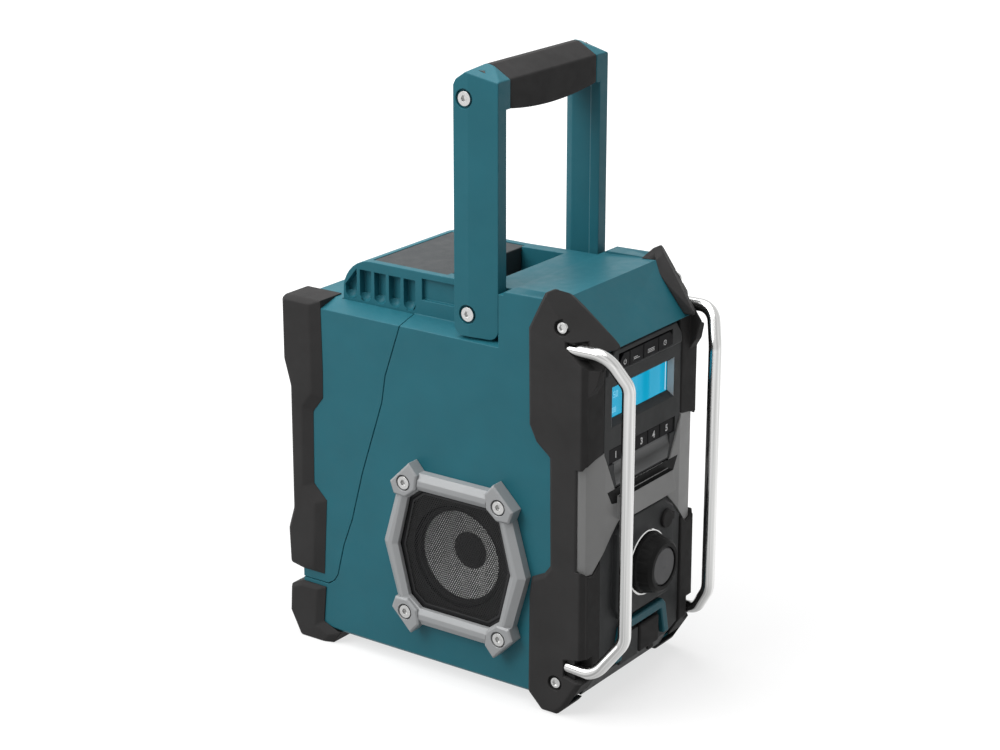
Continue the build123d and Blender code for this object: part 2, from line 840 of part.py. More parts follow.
# ------------------------------------------------------------------ battery door
with BuildPart() as battery_door:
    prism_x(door_zone, -side_x, side_x)
    for side, name in sides:
        prism_y(
            [
                (side * rail_x, ledge_in),
                (side * side_x, ledge_out),
                (side * (side_x + 5), ledge_out),
                (side * (side_x + 5), door_top + 1),
                (side * rail_x, door_top + 1),
            ],
            30,
            body_rear + 1,
            mode=Mode.SUBTRACT,
        )
    block(-rail_x - 1, rail_x + 1, 30, body_rear + 1, ledge_in, door_top + 1, mode=Mode.SUBTRACT)
    # Room for the rails and for the core of the housing.
    block(
        -rail_x - seam,
        rail_x + seam,
        30,
        rail_rear + seam,
        200,
        door_top,
        mode=Mode.SUBTRACT,
    )
    block(
        -cheek_x,
        cheek_x,
        30,
        body_rear - door_t,
        door_low - 1,
        core_top + gap,
        mode=Mode.SUBTRACT,
    )
    # Recess and slot for the latch, and knuckles for the hinge.
    block(
        -latch_half - gap, latch_half + gap,
        body_rear - latch_sink, body_rear + 4,
        latch_z[0] - latch_travel - gap, latch_z[1] + gap,
        mode=Mode.SUBTRACT,
    )
    block(
        -latch_tongue - gap, latch_tongue + gap,
        body_rear - door_t - 1, body_rear,
        tongue_z[0] - latch_travel - gap, tongue_z[1] + gap,
        mode=Mode.SUBTRACT,
    )
    for x0, x1 in ((-29.6, -8.0), (8.0, 29.6), (-56.0, -38.4), (38.4, 56.0)):
        rod_x(hinge_r, x0, x1, hinge_y, hinge_z)
        prism_x(
            [
                (body_rear - door_t, door_low + 0.3),
                (body_rear + gap, door_low + 0.3),
                (hinge_y - 1.0, hinge_z - hinge_r + 0.2),
                (hinge_y + hinge_r - 0.6, hinge_z + 1.5),
                (body_rear - 0.5, door_low + 12.0),
                (body_rear - door_t, door_low + 12.0),
            ],
            x0,
            x1,
        )
    for x0, x1 in ((-38.4, -29.6), (29.6, 38.4)):
        rod_x(hinge_r + gap, x0, x1, hinge_y, hinge_z, mode=Mode.SUBTRACT)
        block(x0, x1, 118, body_rear + 8, 40, hinge_z + 4.5, mode=Mode.SUBTRACT)
    rod_x(pin_r + slip, -57, 57, hinge_y, hinge_z, mode=Mode.SUBTRACT)
save(battery_door.part, "battery_door")

with BuildPart() as door_hinge_pin:
    rod_x(pin_r, -38, 38, hinge_y, hinge_z)
save(door_hinge_pin.part, "door_hinge_pin")

for side, name in sides:
    with BuildPart() as rear_bumper:
        prism_x(rear_bumper_outline, side * rear_bumper_in, side * bumper_x)
        bevel_rubber(
            rear_bumper, side, 3.2, 8.0,
            [(105.2, rear_bumper_top + 48.8)]
            + rear_bumper_outline[-6:]
            + [(108.5, rear_bumper_low - 30)],
        )
        add(battery_door.part, mode=Mode.SUBTRACT)
        block(-side_x, side_x, 90, body_rear, 40, ledge_out, mode=Mode.SUBTRACT)
    largest = rear_bumper.part.solids().sort_by(SortBy.VOLUME)[-1]
    save(Part(largest.wrapped), f"rear_bumper_{name}")

with BuildPart() as door_latch:
    latch_y = body_rear - latch_sink + 0.3
    block(-latch_half, latch_half, latch_y, body_rear + latch_proud, latch_z[0], latch_z[1])
    chamfer(door_latch.edges().filter_by(Axis.X).group_by(Axis.Y)[-1], 2.0)
    block(-latch_tongue, latch_tongue, core_rear + 0.6, latch_y, tongue_z[0], tongue_z[1])
    for z in (231.5, 234.0, 236.5, 239.0):
        rod_x(0.6, -10, 10, body_rear + latch_proud, z, mode=Mode.SUBTRACT)
save(door_latch.part, "door_latch")

# ------------------------------------------------------------------ battery bay
with BuildPart() as battery_bay:
    block(-bay_half, bay_half, bay_y[0], core_rear, bay_z[0], bay_z[1])
    block(-50, 50, core_rear, core_rear + 1.5, 47, 241)
    block(
        -bay_half + bay_wall,
        bay_half - bay_wall,
        bay_y[0] + bay_wall,
        core_rear + 2,
        bay_z[0] + bay_wall,
        bay_z[1] - bay_wall,
        mode=Mode.SUBTRACT,
    )
    # Catch for the latch's tongue.
    block(
        -latch_tongue - gap, latch_tongue + gap,
        core_rear - 0.1, core_rear + 2,
        tongue_z[0] - latch_travel - gap, 242,
        mode=Mode.SUBTRACT,
    )
save(battery_bay.part, "battery_bay")

with BuildPart() as battery_terminals:
    base_y = bay_y[0] + bay_wall
    block(-22, 22, base_y, base_y + 8, 150, 205)
    for side, name in sides:
        block(side * 22, side * 26, base_y, base_y + 3, 150, 205)
        block(side * 22, side * 26, base_y + 3, base_y + 8, 196, 205)
    for x in (-14, -5, 5, 14):
        block(x - 0.6, x + 0.6, base_y + 8, base_y + 12, 156, 182)
save(battery_terminals.part, "battery_terminals")

with BuildPart() as cell_holder:
    block(-31, 31, 58, 96, bay_z[0] + bay_wall, bay_z[0] + bay_wall + 12)
    for y in (68.5, 85.5):
        rod_x(7.4, -26, 26, y, bay_z[0] + bay_wall + 12.5, mode=Mode.SUBTRACT)
save(cell_holder.part, "cell_holder")

# ------------------------------------------------------------------ handle
hand_outline = [
    (arm_back, hand_low),
    (arm_back, head_back - 0.8),
    (-21.5, hand_top),
    (-26.0, hand_top),
    (arm_front, head_front),
    (arm_front, hand_low),
]
grip_core_outline = [
    (arm_back - grip_wall, hand_low + grip_wall),
    (arm_back - grip_wall, head_back - 2.3),
    (-22.4, hand_top - grip_wall),
    (-25.4, hand_top - grip_wall),
    (arm_front + grip_wall, head_front - 2.3),
    (arm_front + grip_wall, hand_low + grip_wall),
]
# The arm's head stands a little fuller than the grip at the back.
head_outline = [
    (arm_back, hand_low),
    (arm_back, head_back),
    (arm_back - 1.9, head_back + 3.6),
    (arm_back - 5.6, head_back + 6.1),
    (-21.5, hand_top),
    (-26.0, hand_top),
    (arm_front, head_front),
    (arm_front, hand_low),
]
for side, name in sides:
    with BuildPart() as handle_arm:
        prism_x(
            [
                (arm_back, arm_foot),
                (arm_back, hand_low + 2),
                (arm_front, hand_low + 2),
                (arm_front, arm_foot),
            ],
            side * (arm_out - arm_web),
            side * arm_out,
        )
        prism_z(
            [
                (side * (arm_out - 1), arm_front),
                (side * arm_in, arm_front),
                (side * arm_in, arm_front + arm_flange - 2),
                (side * (arm_in + 2), arm_front + arm_flange),
                (side * (arm_out - 1), arm_front + arm_flange + 1.5),
            ],
            arm_foot,
            hand_low + 2,
        )
        prism_x(head_outline, side * grip_half, side * arm_out)
        # Boss that turns on the pivot bush.
        rod_x(boss_r, side * (rail_x + 0.5), side * (arm_out - 1), pivot_y, pivot_z)
        foot = (
            handle_arm.edges()
            .filter_by(Axis.X)
            .filter_by(lambda e: abs(e.center().Z - arm_foot) < 0.01)
        )
        fillet(foot, arm_corner)
        # Above the boss the web thins towards its back edge.
        prism_z(
            [
                (side * (arm_out - arm_web), arm_back - arm_taper),
                (side * (arm_out - arm_edge), arm_back),
                (side * (arm_out - arm_edge), arm_back + 1),
                (side * (arm_out - arm_web - 1), arm_back + 1),
                (side * (arm_out - arm_web - 1), arm_back - arm_taper),
            ],
            pivot_z + boss_r + 3,
            hand_low,
            mode=Mode.SUBTRACT,
        )
        # The top falls outwards to the crease that runs down through the bolts, and the
        # outer face falls away in front of that crease.
        split(
            bisect_by=facet(
                side,
                (arm_out, arm_crease, hand_top - head_fall),
                (grip_half, -24.0, hand_top),
                (arm_out - arm_fall, arm_front, head_front - 0.5),
            ),
            keep=Keep.BOTTOM,
        )
        prism_z(
            [
                (side * arm_out, arm_crease),
                (side * (arm_out - arm_fall), arm_front),
                (side * (arm_out - arm_fall), arm_front - 2),
                (side * (arm_out + 2), arm_front - 2),
                (side * (arm_out + 2), arm_crease),
            ],
            arm_foot - 1,
            hand_top + 1,
            mode=Mode.SUBTRACT,
        )
        # Socket for the grip's core, and bores for the bolts.
        through = arm_out + 1
        prism_x(grip_core_outline, side * (grip_half - 1), side * 59.0, mode=Mode.SUBTRACT)
        rod_x(2.5, side * 50, side * through, top_bolt_y, top_bolt_z, mode=Mode.SUBTRACT)
        rod_x(bush_r + slip, side * 49, side * through, pivot_y, pivot_z, mode=Mode.SUBTRACT)
        for y, z in ((pivot_y, pivot_z), (top_bolt_y, top_bolt_z)):
            rod_x(bolt_sink, side * (arm_out - 2.6), side * through, y, z, mode=Mode.SUBTRACT)
    save(handle_arm.part, f"handle_arm_{name}")

with BuildPart() as grip_core:
    prism_x(grip_core_outline, -59.0, 59.0)
    for side, name in sides:
        rod_x(2.5, side * 40, side * 60, top_bolt_y, top_bolt_z, mode=Mode.SUBTRACT)
save(grip_core.part, "grip_core")

with BuildPart() as handle_grip:
    prism_x(hand_outline, -grip_half, grip_half)
    # The belly bows down towards the middle.
    with BuildSketch(Plane.XZ.offset(-arm_back)) as belly:
        with BuildLine() as belly_line:
            ThreePointArc((-grip_half, hand_low), (0, hand_low - grip_sag), (grip_half, hand_low))
            Line((grip_half, hand_low), (-grip_half, hand_low))
        make_face()
    extrude(belly.sketch, amount=arm_back - arm_front, dir=(0, -1, 0))
    add(grip_core.part, mode=Mode.SUBTRACT)
    prism_x(grip_core_outline, -60, 60, mode=Mode.SUBTRACT)
save(handle_grip.part, "handle_grip")

with BuildPart() as grip_bolts:
    for side, name in sides:
        socket_bolt_x(
            side, arm_out - 0.3, bolt_head_r, 2.3, 2.5, 42, top_bolt_y, top_bolt_z
        )
save(grip_bolts.part, "grip_bolts")

with BuildPart() as pivot_bolts:
    for side, name in sides:
        socket_bolt_x(
            side, arm_out - 0.2, bolt_head_r, 2.1, bolt_r, 42, pivot_y, pivot_z
        )
save(pivot_bolts.part, "pivot_bolts")

with BuildPart() as pivot_bushes:
    for side, name in sides:
        rod_x(bush_r, side * rail_x, side * (arm_out - 2.3), pivot_y, pivot_z)
        rod_x(bolt_r, side * 49, side * arm_out, pivot_y, pivot_z, mode=Mode.SUBTRACT)
save(pivot_bushes.part, "pivot_bushes")

# ------------------------------------------------------------------ loudspeakers
for side, name in sides:
    with BuildPart() as speaker_frame:
        prism_x(frame_outline, side * side_x, side * bar_edge_x)
        tapered_x(frame_outline, side, bar_edge_x, bar_ridge_x, ridge_out)
        tapered_x(
            frame_hole, side, bar_lip_x, bar_ridge_x + 1,
            -ridge_in * (bar_ridge_x + 1 - bar_lip_x) / (bar_ridge_x - bar_lip_x),
            mode=Mode.SUBTRACT,
        )
        for i in (-1, 1):
            for j in (-1, 1):
                lug = [(spk_y + i * y, spk_z + j * z) for y, z in frame_lug]
                prism_x(lug, side * side_x, side * frame_x)
        face = speaker_frame.faces().sort_by(Axis.X)
        face = face[:4] if side < 0 else face[-4:]
        chamfer(face.edges(), 1.2)
        prism_x(frame_hole, side * (side_x - 1), side * (frame_x + 1), mode=Mode.SUBTRACT)
        prism_x(
            full_outline(frame_hole_quarter, 2.4),
            side * (side_x - 1),
            side * (mesh_x + 0.05),
            mode=Mode.SUBTRACT,
        )
        for y, z in frame_screw_points:
            rod_x(5.6, side * (frame_x - 3.0), side * (frame_x + 1), y, z, mode=Mode.SUBTRACT)
            rod_x(2.0, side * 60, side * (frame_x + 1), y, z, mode=Mode.SUBTRACT)
    save(speaker_frame.part, f"speaker_frame_{name}")

    with BuildPart() as speaker_grille:
        prism_x(full_outline(frame_hole_quarter, 2.2), side * (side_x + 2.2), side * mesh_x)
        prism_x(
            full_outline(frame_hole_quarter, 0.8),
            side * side_x,
            side * (mesh_x - mesh_t),
            mode=Mode.SUBTRACT,
        )
    save(speaker_grille.part, f"speaker_grille_{name}")

    with BuildPart() as driver:
        prism_x(full_outline(frame_hole_quarter, 2.2), side * side_x, side * (side_x + 2.2))
        turned_x(
            [
                (side * (side_x + 1), basket_hole - 1),
                (side * (side_x + 1), driver_r),
                (side * (side_x - 6), driver_r),
                (side * (magnet_x + 13), magnet_r - 2),
                (side * (magnet_x + 13), magnet_r),
                (side * magnet_x, magnet_r),
                (side * magnet_x, 0),
                (side * (magnet_x + 16), 0),
                (side * (magnet_x + 16), magnet_r - 4),
                (side * (side_x - 7), driver_r - 3),
            ],
            spk_y,
            spk_z,
        )
        rod_x(
            basket_hole, side * (side_x - 6.0), side * (side_x + 4), spk_y, spk_z,
            mode=Mode.SUBTRACT,
        )
    save(driver.part, f"driver_{name}")

    with BuildPart() as cone:
        turned_x(
            [
                (side * (side_x - 2.6), surround_r),
                (side * (side_x + 0.2), surround_r - 1.0),
                (side * (side_x + 0.2), cone_r + 1.0),
                (side * (side_x - 2.4), cone_r),
                (side * (side_x - 13.0), cap_r),
                (side * (side_x - 10.0), cap_r * 0.7),
                (side * (side_x - 8.8), 0.0),
                (side * (side_x - 12.0), 0.0),
                (side * (side_x - 19.0), cap_r - 3),
                (side * (side_x - 19.0), cap_r - 1),
                (side * (side_x - 4.0), cone_r),
                (side * (side_x - 3.8), surround_r),
            ],
            spk_y,
            spk_z,
        )
    save(cone.part, f"cone_{name}")

with BuildPart() as frame_screws:
    for side, name in sides:
        for y, z in frame_screw_points:
            socket_bolt_x(side, frame_x - 0.3, 4.6, 2.7, 1.8, side_x - 8, y, z)
save(frame_screws.part, "frame_screws")

# ------------------------------------------------------------------ control panel
with BuildPart() as control_panel:
    prism_y(mirrored(panel_outline), body_front, panel_face)
    prism_y(
        [(-38, 249.5), (-45.5, 239.8), (-45.5, 233.5), (45.5, 233.5), (45.5, 239.8), (38, 249.5)],
        panel_face,
        brow_face,
    )
    front = control_panel.faces().sort_by(Axis.Y)[0]
    chamfer(front.edges(), 0.8)
    # Bevelled window for the display.
    with BuildSketch(Plane.XZ.offset(-panel_face)) as window_front:
        with Locations((0, (lcd_z[0] + lcd_z[1]) / 2)):
            Rectangle(
                2 * (lcd_half + lcd_bevel_x), lcd_z[1] - lcd_z[0] + 2 * lcd_bevel_z
            )
    with BuildSketch(Plane.XZ.offset(-lcd_front)) as window_back:
        with Locations((0, (lcd_z[0] + lcd_z[1]) / 2)):
            Rectangle(2 * lcd_half, lcd_z[1] - lcd_z[0])
    loft([window_front.sketch.face(), window_back.sketch.face()], mode=Mode.SUBTRACT)
    block(
        -lcd_half, lcd_half,
        lcd_front - 0.1, lcd_front + lens_seat + 0.1,
        lcd_z[0], lcd_z[1],
        mode=Mode.SUBTRACT,
    )
    block(
        -lcd_half - 1.5, lcd_half + 1.5,
        lcd_front + lens_seat, body_front + 1,
        lcd_z[0] - 1.5, lcd_z[1] + 1.5,
        mode=Mode.SUBTRACT,
    )
    # Key openings, and the slanted finger recess below the number keys.
    block(
        preset_x[0] - key_gap, preset_x[-1] + key_gap,
        panel_face - 1, body_front + 1,
        preset_z[0] - key_gap, preset_z[1] + key_gap,
        mode=Mode.SUBTRACT,
    )
    prism_x(
        [
            (panel_face - 1, preset_z[0]),
            (panel_face + 2.0, preset_z[0]),
            (panel_face, preset_z[0] - 8),
            (panel_face - 1, preset_z[0] - 8),
        ],
        -34,
        34,
        mode=Mode.SUBTRACT,
    )
    block(
        top_key_x[0] - key_gap, top_key_x[-1] + key_gap,
        brow_face - 1, body_front + 1,
        top_key_z[0] - key_gap, top_key_z[1] + key_gap,
        mode=Mode.SUBTRACT,
    )
    # Posts that carry the key board.
    for x in (-33.0, 33.0):
        for z in (190.0, 229.5):
            rod_y(1.8, -99.9, body_front, x, z)
save(control_panel.part, "control_panel")

with BuildPart() as lcd_lens:
    block(
        -lcd_half - 1.2, lcd_half + 1.2,
        lcd_front + lens_seat, lcd_front + lens_seat + lens_t,
        lcd_z[0] - 1.2, lcd_z[1] + 1.2,
    )
save(lcd_lens.part, "lcd_lens")

with BuildPart() as lcd_module:
    block(
        -lcd_half - 1.2, lcd_half + 1.2,
        lcd_front + lens_seat + lens_t, lcd_front + lens_seat + lens_t + lcd_module_t,
        lcd_z[0] - 1.2, lcd_z[1] + 1.2,
    )
save(lcd_module.part, "lcd_module")


def make_key(x0, x1, z0, z1, face_y, corner):
    """One key: a cap that passes through the panel and a flange behind it."""
    with BuildPart() as key:
        prism_y(
            [
                (x0, z0),
                (x1, z0),
                (x1, z1 - (corner if corner > 0 else 0)),
                (x1 - (corner if corner > 0 else 0), z1),
                (x0 - (corner if corner < 0 else 0), z1),
                (x0, z1 + (corner if corner < 0 else 0)),
            ]
            if corner
            else [(x0, z0), (x1, z0), (x1, z1), (x0, z1)],
            face_y,
            body_front + 0.3,
        )
        face = key.faces().sort_by(Axis.Y)[0]
        fillet(face.edges(), 0.5)
        block(
            x0 + 0.4, x1 - 0.4,
            body_front + 0.3, body_front + 0.3 + key_flange,
            z0 - 1.2, z1 + 1.2,
        )
    return key.part


for i in range(5):
    x0 = preset_x[i] + key_gap / 2
    x1 = preset_x[i + 1] - key_gap / 2
    key = make_key(x0, x1, preset_z[0], preset_z[1], preset_face, 0)
    save(key, f"preset_key_{i + 1}")

for i, label in enumerate(("power_key", "source_key", "menu_key", "clock_key")):
    x0 = top_key_x[i] + key_gap / 2
    x1 = top_key_x[i + 1] - key_gap / 2
    corner = {0: -4.0, 3: 4.0}.get(i, 0)
    key = make_key(x0, x1, top_key_z[0], top_key_z[1], top_key_face, corner)
    save(key, label)

board_y = -99.9
with BuildPart() as key_board:
    block(-38, 38, board_y, board_y + 1.6, 165, 246.5)
    switch_front = board_y - 1.5
    for i in range(5):
        x = (preset_x[i] + preset_x[i + 1]) / 2
        block(x - 3, x + 3, switch_front, board_y, 174, 180)
    for i in range(4):
        x = (top_key_x[i] + top_key_x[i + 1]) / 2
        block(x - 3, x + 3, switch_front, board_y, 238.5, 244.5)
save(key_board.part, "key_board")

with BuildPart() as main_board:
    block(-56, 56, -88.0, -86.4, 130, 230)
    block(-12, 12, -86.4, -83.4, 160, 184)
    block(-44, -28, -86.4, -80.4, 196, 214)
    block(24, 46, -86.4, -72.4, 140, 168)
    for x in (-40, -30, -20):
        rod_y(4.0, -86.4, -76.4, x, 145)
save(main_board.part, "main_board")

# ------------------------------------------------------------------ grey trim
trim_wing = [
    (34.0, 154.0),
    (panel_half + 0.5, 181.0),
    (panel_half + 0.5, grey_top + 0.5),
    (62.0, grey_top - 2.7),
    (66.8, grey_top - 3.9),
    (wing_x, grey_top - 6.1),
    (wing_x, grey_low + 5.6),
    (63.9, grey_low + 1.4),
    (57.5, grey_low + 0.8),
    (41.0, 119.5),
    (31.0, 129.0),
    (24.0, 133.0),
]
band_top, band_low = 148.5, 133.0
with BuildPart() as grey_trim:
    prism_y(mirrored(trim_wing), body_front, -112.6)
    prism_z(
        mirrored(
            [
                (0.01, -100), (wing_x, -100), (wing_x, -106.6),
                (63.9, -109.8), (46.0, -112.6), (0.01, -112.6),
            ]
        ),
        90,
        190,
        mode=Mode.INTERSECT,
    )
    # Cross band that stands forward between the wings.
    prism_x(
        [(-111.0, band_low - 1.0), (-119.6, band_low + 1.0), (-117.2, band_top), (-111.0, band_top)],
        -31.0,
        31.0,
    )
    block(-31, 31, body_front - 0.5, -111.0, band_top, 154.5, mode=Mode.SUBTRACT)
    add(control_panel.part, mode=Mode.SUBTRACT)
    for piece in front_bumpers.values():
        add(piece, mode=Mode.SUBTRACT)
save(grey_trim.part, "grey_trim")

# ------------------------------------------------------------------ knob surround
lip_t = 2.0                 # lip under the front
surround_outline = [
    (24.0, 132.6),
    (31.0, 128.6),
    (41.0, 119.1),
    (49.6, 109.0),
    (49.6, 30.0),
    (37.0, 26.0),
]
module_outline = [(20.0, 131.5), (34.0, 122.5), (35.5, 70.0), (29.0, 60.5)]
aux_x, aux_z, aux_r = 23.5, 116.0, 6.6
aux_hinge_x, aux_hinge_y = aux_x + aux_r + 1.8, module_face - 1.1
strap_t = 1.2               # thickness of the cap's strap
with BuildPart() as knob_surround:
    prism_y(mirrored(surround_outline), body_front, -111.5)
    prism_y(mirrored(module_outline), -111.5, module_face)
    # Lip that follows the housing's slope down to its underside.
    prism_x(
        [
            (body_front, surround_outline[-2][1]),
            (body_front - lip_t, surround_outline[-2][1]),
            (body_front - lip_t, slope_top - 0.5),
            (slope_foot - lip_t - 0.2, body_bottom),
            (slope_foot, body_bottom),
            (body_front, slope_top),
        ],
        -surround_outline[-2][0],
        surround_outline[-2][0],
    )
    module = knob_surround.faces().sort_by(Axis.Y)[0]
    chamfer(module.edges(), 1.2)
    block(-26, 26, body_front - 9.5, body_front + 1, 64, 120, mode=Mode.SUBTRACT)
    rod_y(4.2, -120, -110, 0, knob_z, mode=Mode.SUBTRACT)
    rod_y(3.2, -120, -108, aux_x, aux_z, mode=Mode.SUBTRACT)
    # Port block behind the rubber flap, with a fixed blank beside it.
    block(-27, 27, body_front + 4, body_front, 28, 46)
    prism_y(
        [(-28.0, 26.5), (-5.0, 26.5), (-5.0, 46.5), (-22.8, 46.5)],
        -111.5,
        -114.2,
    )
    block(dc_x - 4, dc_x + 4, -112, body_front + 5, port_z - 4, port_z + 4, mode=Mode.SUBTRACT)
    block(usb_x - 5, usb_x + 5, -112, body_front + 5, port_z - 3, port_z + 3, mode=Mode.SUBTRACT)
    add(grey_trim.part, mode=Mode.SUBTRACT)
save(knob_surround.part, "knob_surround")

with BuildPart() as knob_ring:
    turned_y(
        [
            (ring_r - 1.2, module_face),
            (ring_r, module_face),
            (ring_r, module_face - 0.8),
            (ring_r - 0.5, module_face - 1.3),
            (ring_r - 1.2, module_face - 1.3),
        ],
        0,
        knob_z,
    )
save(knob_ring.part, "knob_ring")

scallops = 14
with BuildPart() as tuning_knob:
    turned_y(
        [
            (shaft_r + slip, knob_back),
            (knob_r, knob_back),
            (knob_r, knob_back - 3.0),
            (knob_r - 0.8, knob_back - 4.0),
            (knob_r - 2.2, knob_front + 3.0),
            (knob_r - 4.2, knob_front),
            (cap_knob_r + 0.3, knob_front),
            (cap_knob_r + 0.3, knob_back - 5.0),
            (shaft_r + slip, knob_back - 5.0),
        ],
        0,
        knob_z,
    )
    for i in range(scallops):
        turn = 2 * pi * i / scallops
        rod_y(
            2.2,
            knob_back - 4.0,
            knob_front - 1,
            (knob_r + 0.3) * cos(turn),
            knob_z + (knob_r + 0.3) * sin(turn),
            mode=Mode.SUBTRACT,
        )
save(tuning_knob.part, "tuning_knob")

with BuildPart() as knob_cap:
    turned_y(
        [
            (0, knob_front + 0.3),
            (cap_knob_r - 1.0, knob_front + 0.6),
            (cap_knob_r, knob_front + 1.4),
            (cap_knob_r, knob_back - 6.2),
            (0, knob_back - 6.2),
        ],
        0,
        knob_z,
    )
save(knob_cap.part, "knob_cap")

with BuildPart() as encoder:
    block(-7, 7, -113.5, -104, knob_z - 7, knob_z + 7)
    rod_y(4.0, module_face, -113.5, 0, knob_z)
    rod_y(shaft_r, knob_back - 4.8, -113.5, 0, knob_z)
save(encoder.part, "encoder")

with BuildPart() as aux_jack:
    rod_y(3.1, module_face, -108, aux_x, aux_z)
    block(aux_x - 2, aux_x + 2, -108, -106, aux_z - 3.5, aux_z + 3.5)
    rod_y(1.8, module_face - 1, -109, aux_x, aux_z, mode=Mode.SUBTRACT)
save(aux_jack.part, "aux_jack")

with BuildPart() as aux_cap:
    rod_y(aux_r, module_face - 2.2, module_face - 0.3, aux_x, aux_z)
    fillet(aux_cap.faces().sort_by(Axis.Y)[0].edges(), 0.9)
    block(
        aux_x + aux_r - 2, aux_hinge_x,
        aux_hinge_y - strap_t / 2, aux_hinge_y + strap_t / 2,
        aux_z - 2.5, aux_z + 2.5,
    )
    rod_z(strap_t / 2, aux_z - 2.5, aux_z + 2.5, aux_hinge_x, aux_hinge_y)
save(aux_cap.part, "aux_cap")

# ------------------------------------------------------------------ ports
with BuildPart() as port_surround:
    prism_y(
        mirrored([(24.5, 56.5), (28.3, 52.5), (33.2, 30.0), (26.6, 30.0), (22.2, 49.8)]),
        -111.5,
        -115.6,
    )
    chamfer(port_surround.faces().sort_by(Axis.Y)[0].edges(), 0.8)
    add(knob_surround.part, mode=Mode.SUBTRACT)
save(port_surround.part, "port_surround")

with BuildPart() as port_flap:
    block(flap_x[0], flap_x[1], flap_face, flap_face + flap_t, flap_z[0], flap_z[1])
    fillet(port_flap.edges().filter_by(Axis.Y), 1.6)
    upper = port_flap.edges().filter_by(Axis.X).group_by(Axis.Z)[-1]
    fillet(upper, flap_t / 2 - 0.05)
    block(
        flap_x[1] - 13, flap_x[1] - 7,
        flap_face + 0.3, flap_face + 2.2,
        flap_z[0] - 2.0, flap_z[0] + 1,
    )
save(port_flap.part, "port_flap")

with BuildPart() as usb_socket:
    block(usb_x - 5, usb_x + 5, -111.4, body_front, port_z - 3, port_z + 3)
    block(usb_x - 4.2, usb_x + 4.2, -112, body_front - 1, port_z - 2.2, port_z + 2.2, mode=Mode.SUBTRACT)
    block(usb_x - 3.2, usb_x + 3.2, -110.8, body_front - 0.5, port_z - 1.8, port_z - 0.2)
save(usb_socket.part, "usb_socket")

with BuildPart() as dc_socket:
    block(dc_x - 4, dc_x + 4, -111.4, body_front, port_z - 4, port_z + 4)
    rod_y(2.9, -112, body_front - 1, dc_x, port_z, mode=Mode.SUBTRACT)
    rod_y(1.0, -111.0, body_front - 0.5, dc_x, port_z)
save(dc_socket.part, "dc_socket")

# ------------------------------------------------------------------ antenna socket
antenna_r = 2.5
with BuildPart() as antenna_socket:
    rod_z(6.0, 257.0, 264.0, 30.0, 2.0)
    chamfer(antenna_socket.faces().sort_by(Axis.Z)[-1].edges(), 0.8)
    rod_z(antenna_r, 258.0, 265.0, 30.0, 2.0, mode=Mode.SUBTRACT)
save(antenna_socket.part, "antenna_socket")
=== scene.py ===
# %% [markdown]
# A jobsite radio, dressed for its picture.
# The CAD model arrives as a fixed frame: every piece already lies where it belongs, in
# metres, with -Y at the control panel and +Z up. Blender adds what the solids leave out:
# rolled edges, punched grilles, printing, a lit display and finishes with some depth.

# %% Load the frame
import json
import math

import bmesh
import bpy
import numpy as np
from mathutils import Matrix, Vector


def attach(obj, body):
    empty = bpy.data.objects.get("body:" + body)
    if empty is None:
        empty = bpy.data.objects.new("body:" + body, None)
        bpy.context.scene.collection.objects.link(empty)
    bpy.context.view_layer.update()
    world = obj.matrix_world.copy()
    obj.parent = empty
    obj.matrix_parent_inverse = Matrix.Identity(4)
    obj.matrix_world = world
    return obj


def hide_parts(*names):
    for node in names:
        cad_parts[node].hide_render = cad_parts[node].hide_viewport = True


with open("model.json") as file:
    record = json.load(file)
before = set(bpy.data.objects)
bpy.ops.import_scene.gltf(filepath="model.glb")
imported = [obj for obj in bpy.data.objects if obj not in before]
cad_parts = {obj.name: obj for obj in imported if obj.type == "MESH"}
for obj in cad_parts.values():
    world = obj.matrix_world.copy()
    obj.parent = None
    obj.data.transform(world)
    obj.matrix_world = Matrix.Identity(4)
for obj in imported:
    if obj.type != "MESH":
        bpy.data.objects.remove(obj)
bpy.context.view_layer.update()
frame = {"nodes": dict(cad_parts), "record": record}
MM = 0.001

# %% [markdown]
# The record says which body each node rides on and which finish it takes. Reading both
# from there keeps the names in one place, so a later change of the CAD follows through.

# %% Who rides where
body_of = {
    node: body
    for body, nodes in frame["record"]["behaviour"]["bodies"].items()
    for node in nodes
}
slot_of = {part["node"]: part["material_slot"] for part in frame["record"]["subparts"]}
print("finishes named:", len(set(slot_of.values())))

# %% [markdown]
# Finishes come first. Real moulded plastic is never one colour: the tool's spark texture
# breaks up the shine, and large areas drift a little in tone. One could paint maps for
# that, but noise read from Object coordinates needs no unwrapping and keeps its size in
# millimetres on every piece, so all the plain finishes share one recipe.


# %% A recipe for moulded surfaces
def graph(name):
    """New material with an empty node tree that holds a Principled shader and an output."""
    made = bpy.data.materials.new(name)
    made.use_nodes = True
    nodes = made.node_tree.nodes
    nodes.clear()
    out = nodes.new("ShaderNodeOutputMaterial")
    shader = nodes.new("ShaderNodeBsdfPrincipled")
    made.node_tree.links.new(shader.outputs["BSDF"], out.inputs["Surface"])
    return made, nodes, made.node_tree.links, shader


def mottled(nodes, links, coords, scale, low, high, detail=2.0):
    """Noise of so many cells per metre, stretched to run from low to high."""
    noise = nodes.new("ShaderNodeTexNoise")
    noise.inputs["Scale"].default_value = scale
    noise.inputs["Detail"].default_value = detail
    stretch = nodes.new("ShaderNodeMapRange")
    stretch.inputs["From Min"].default_value = 0.3
    stretch.inputs["From Max"].default_value = 0.7
    stretch.inputs["To Min"].default_value = low
    stretch.inputs["To Max"].default_value = high
    links.new(coords, noise.inputs["Vector"])
    links.new(noise.outputs["Fac"], stretch.inputs["Value"])
    return stretch.outputs["Result"]


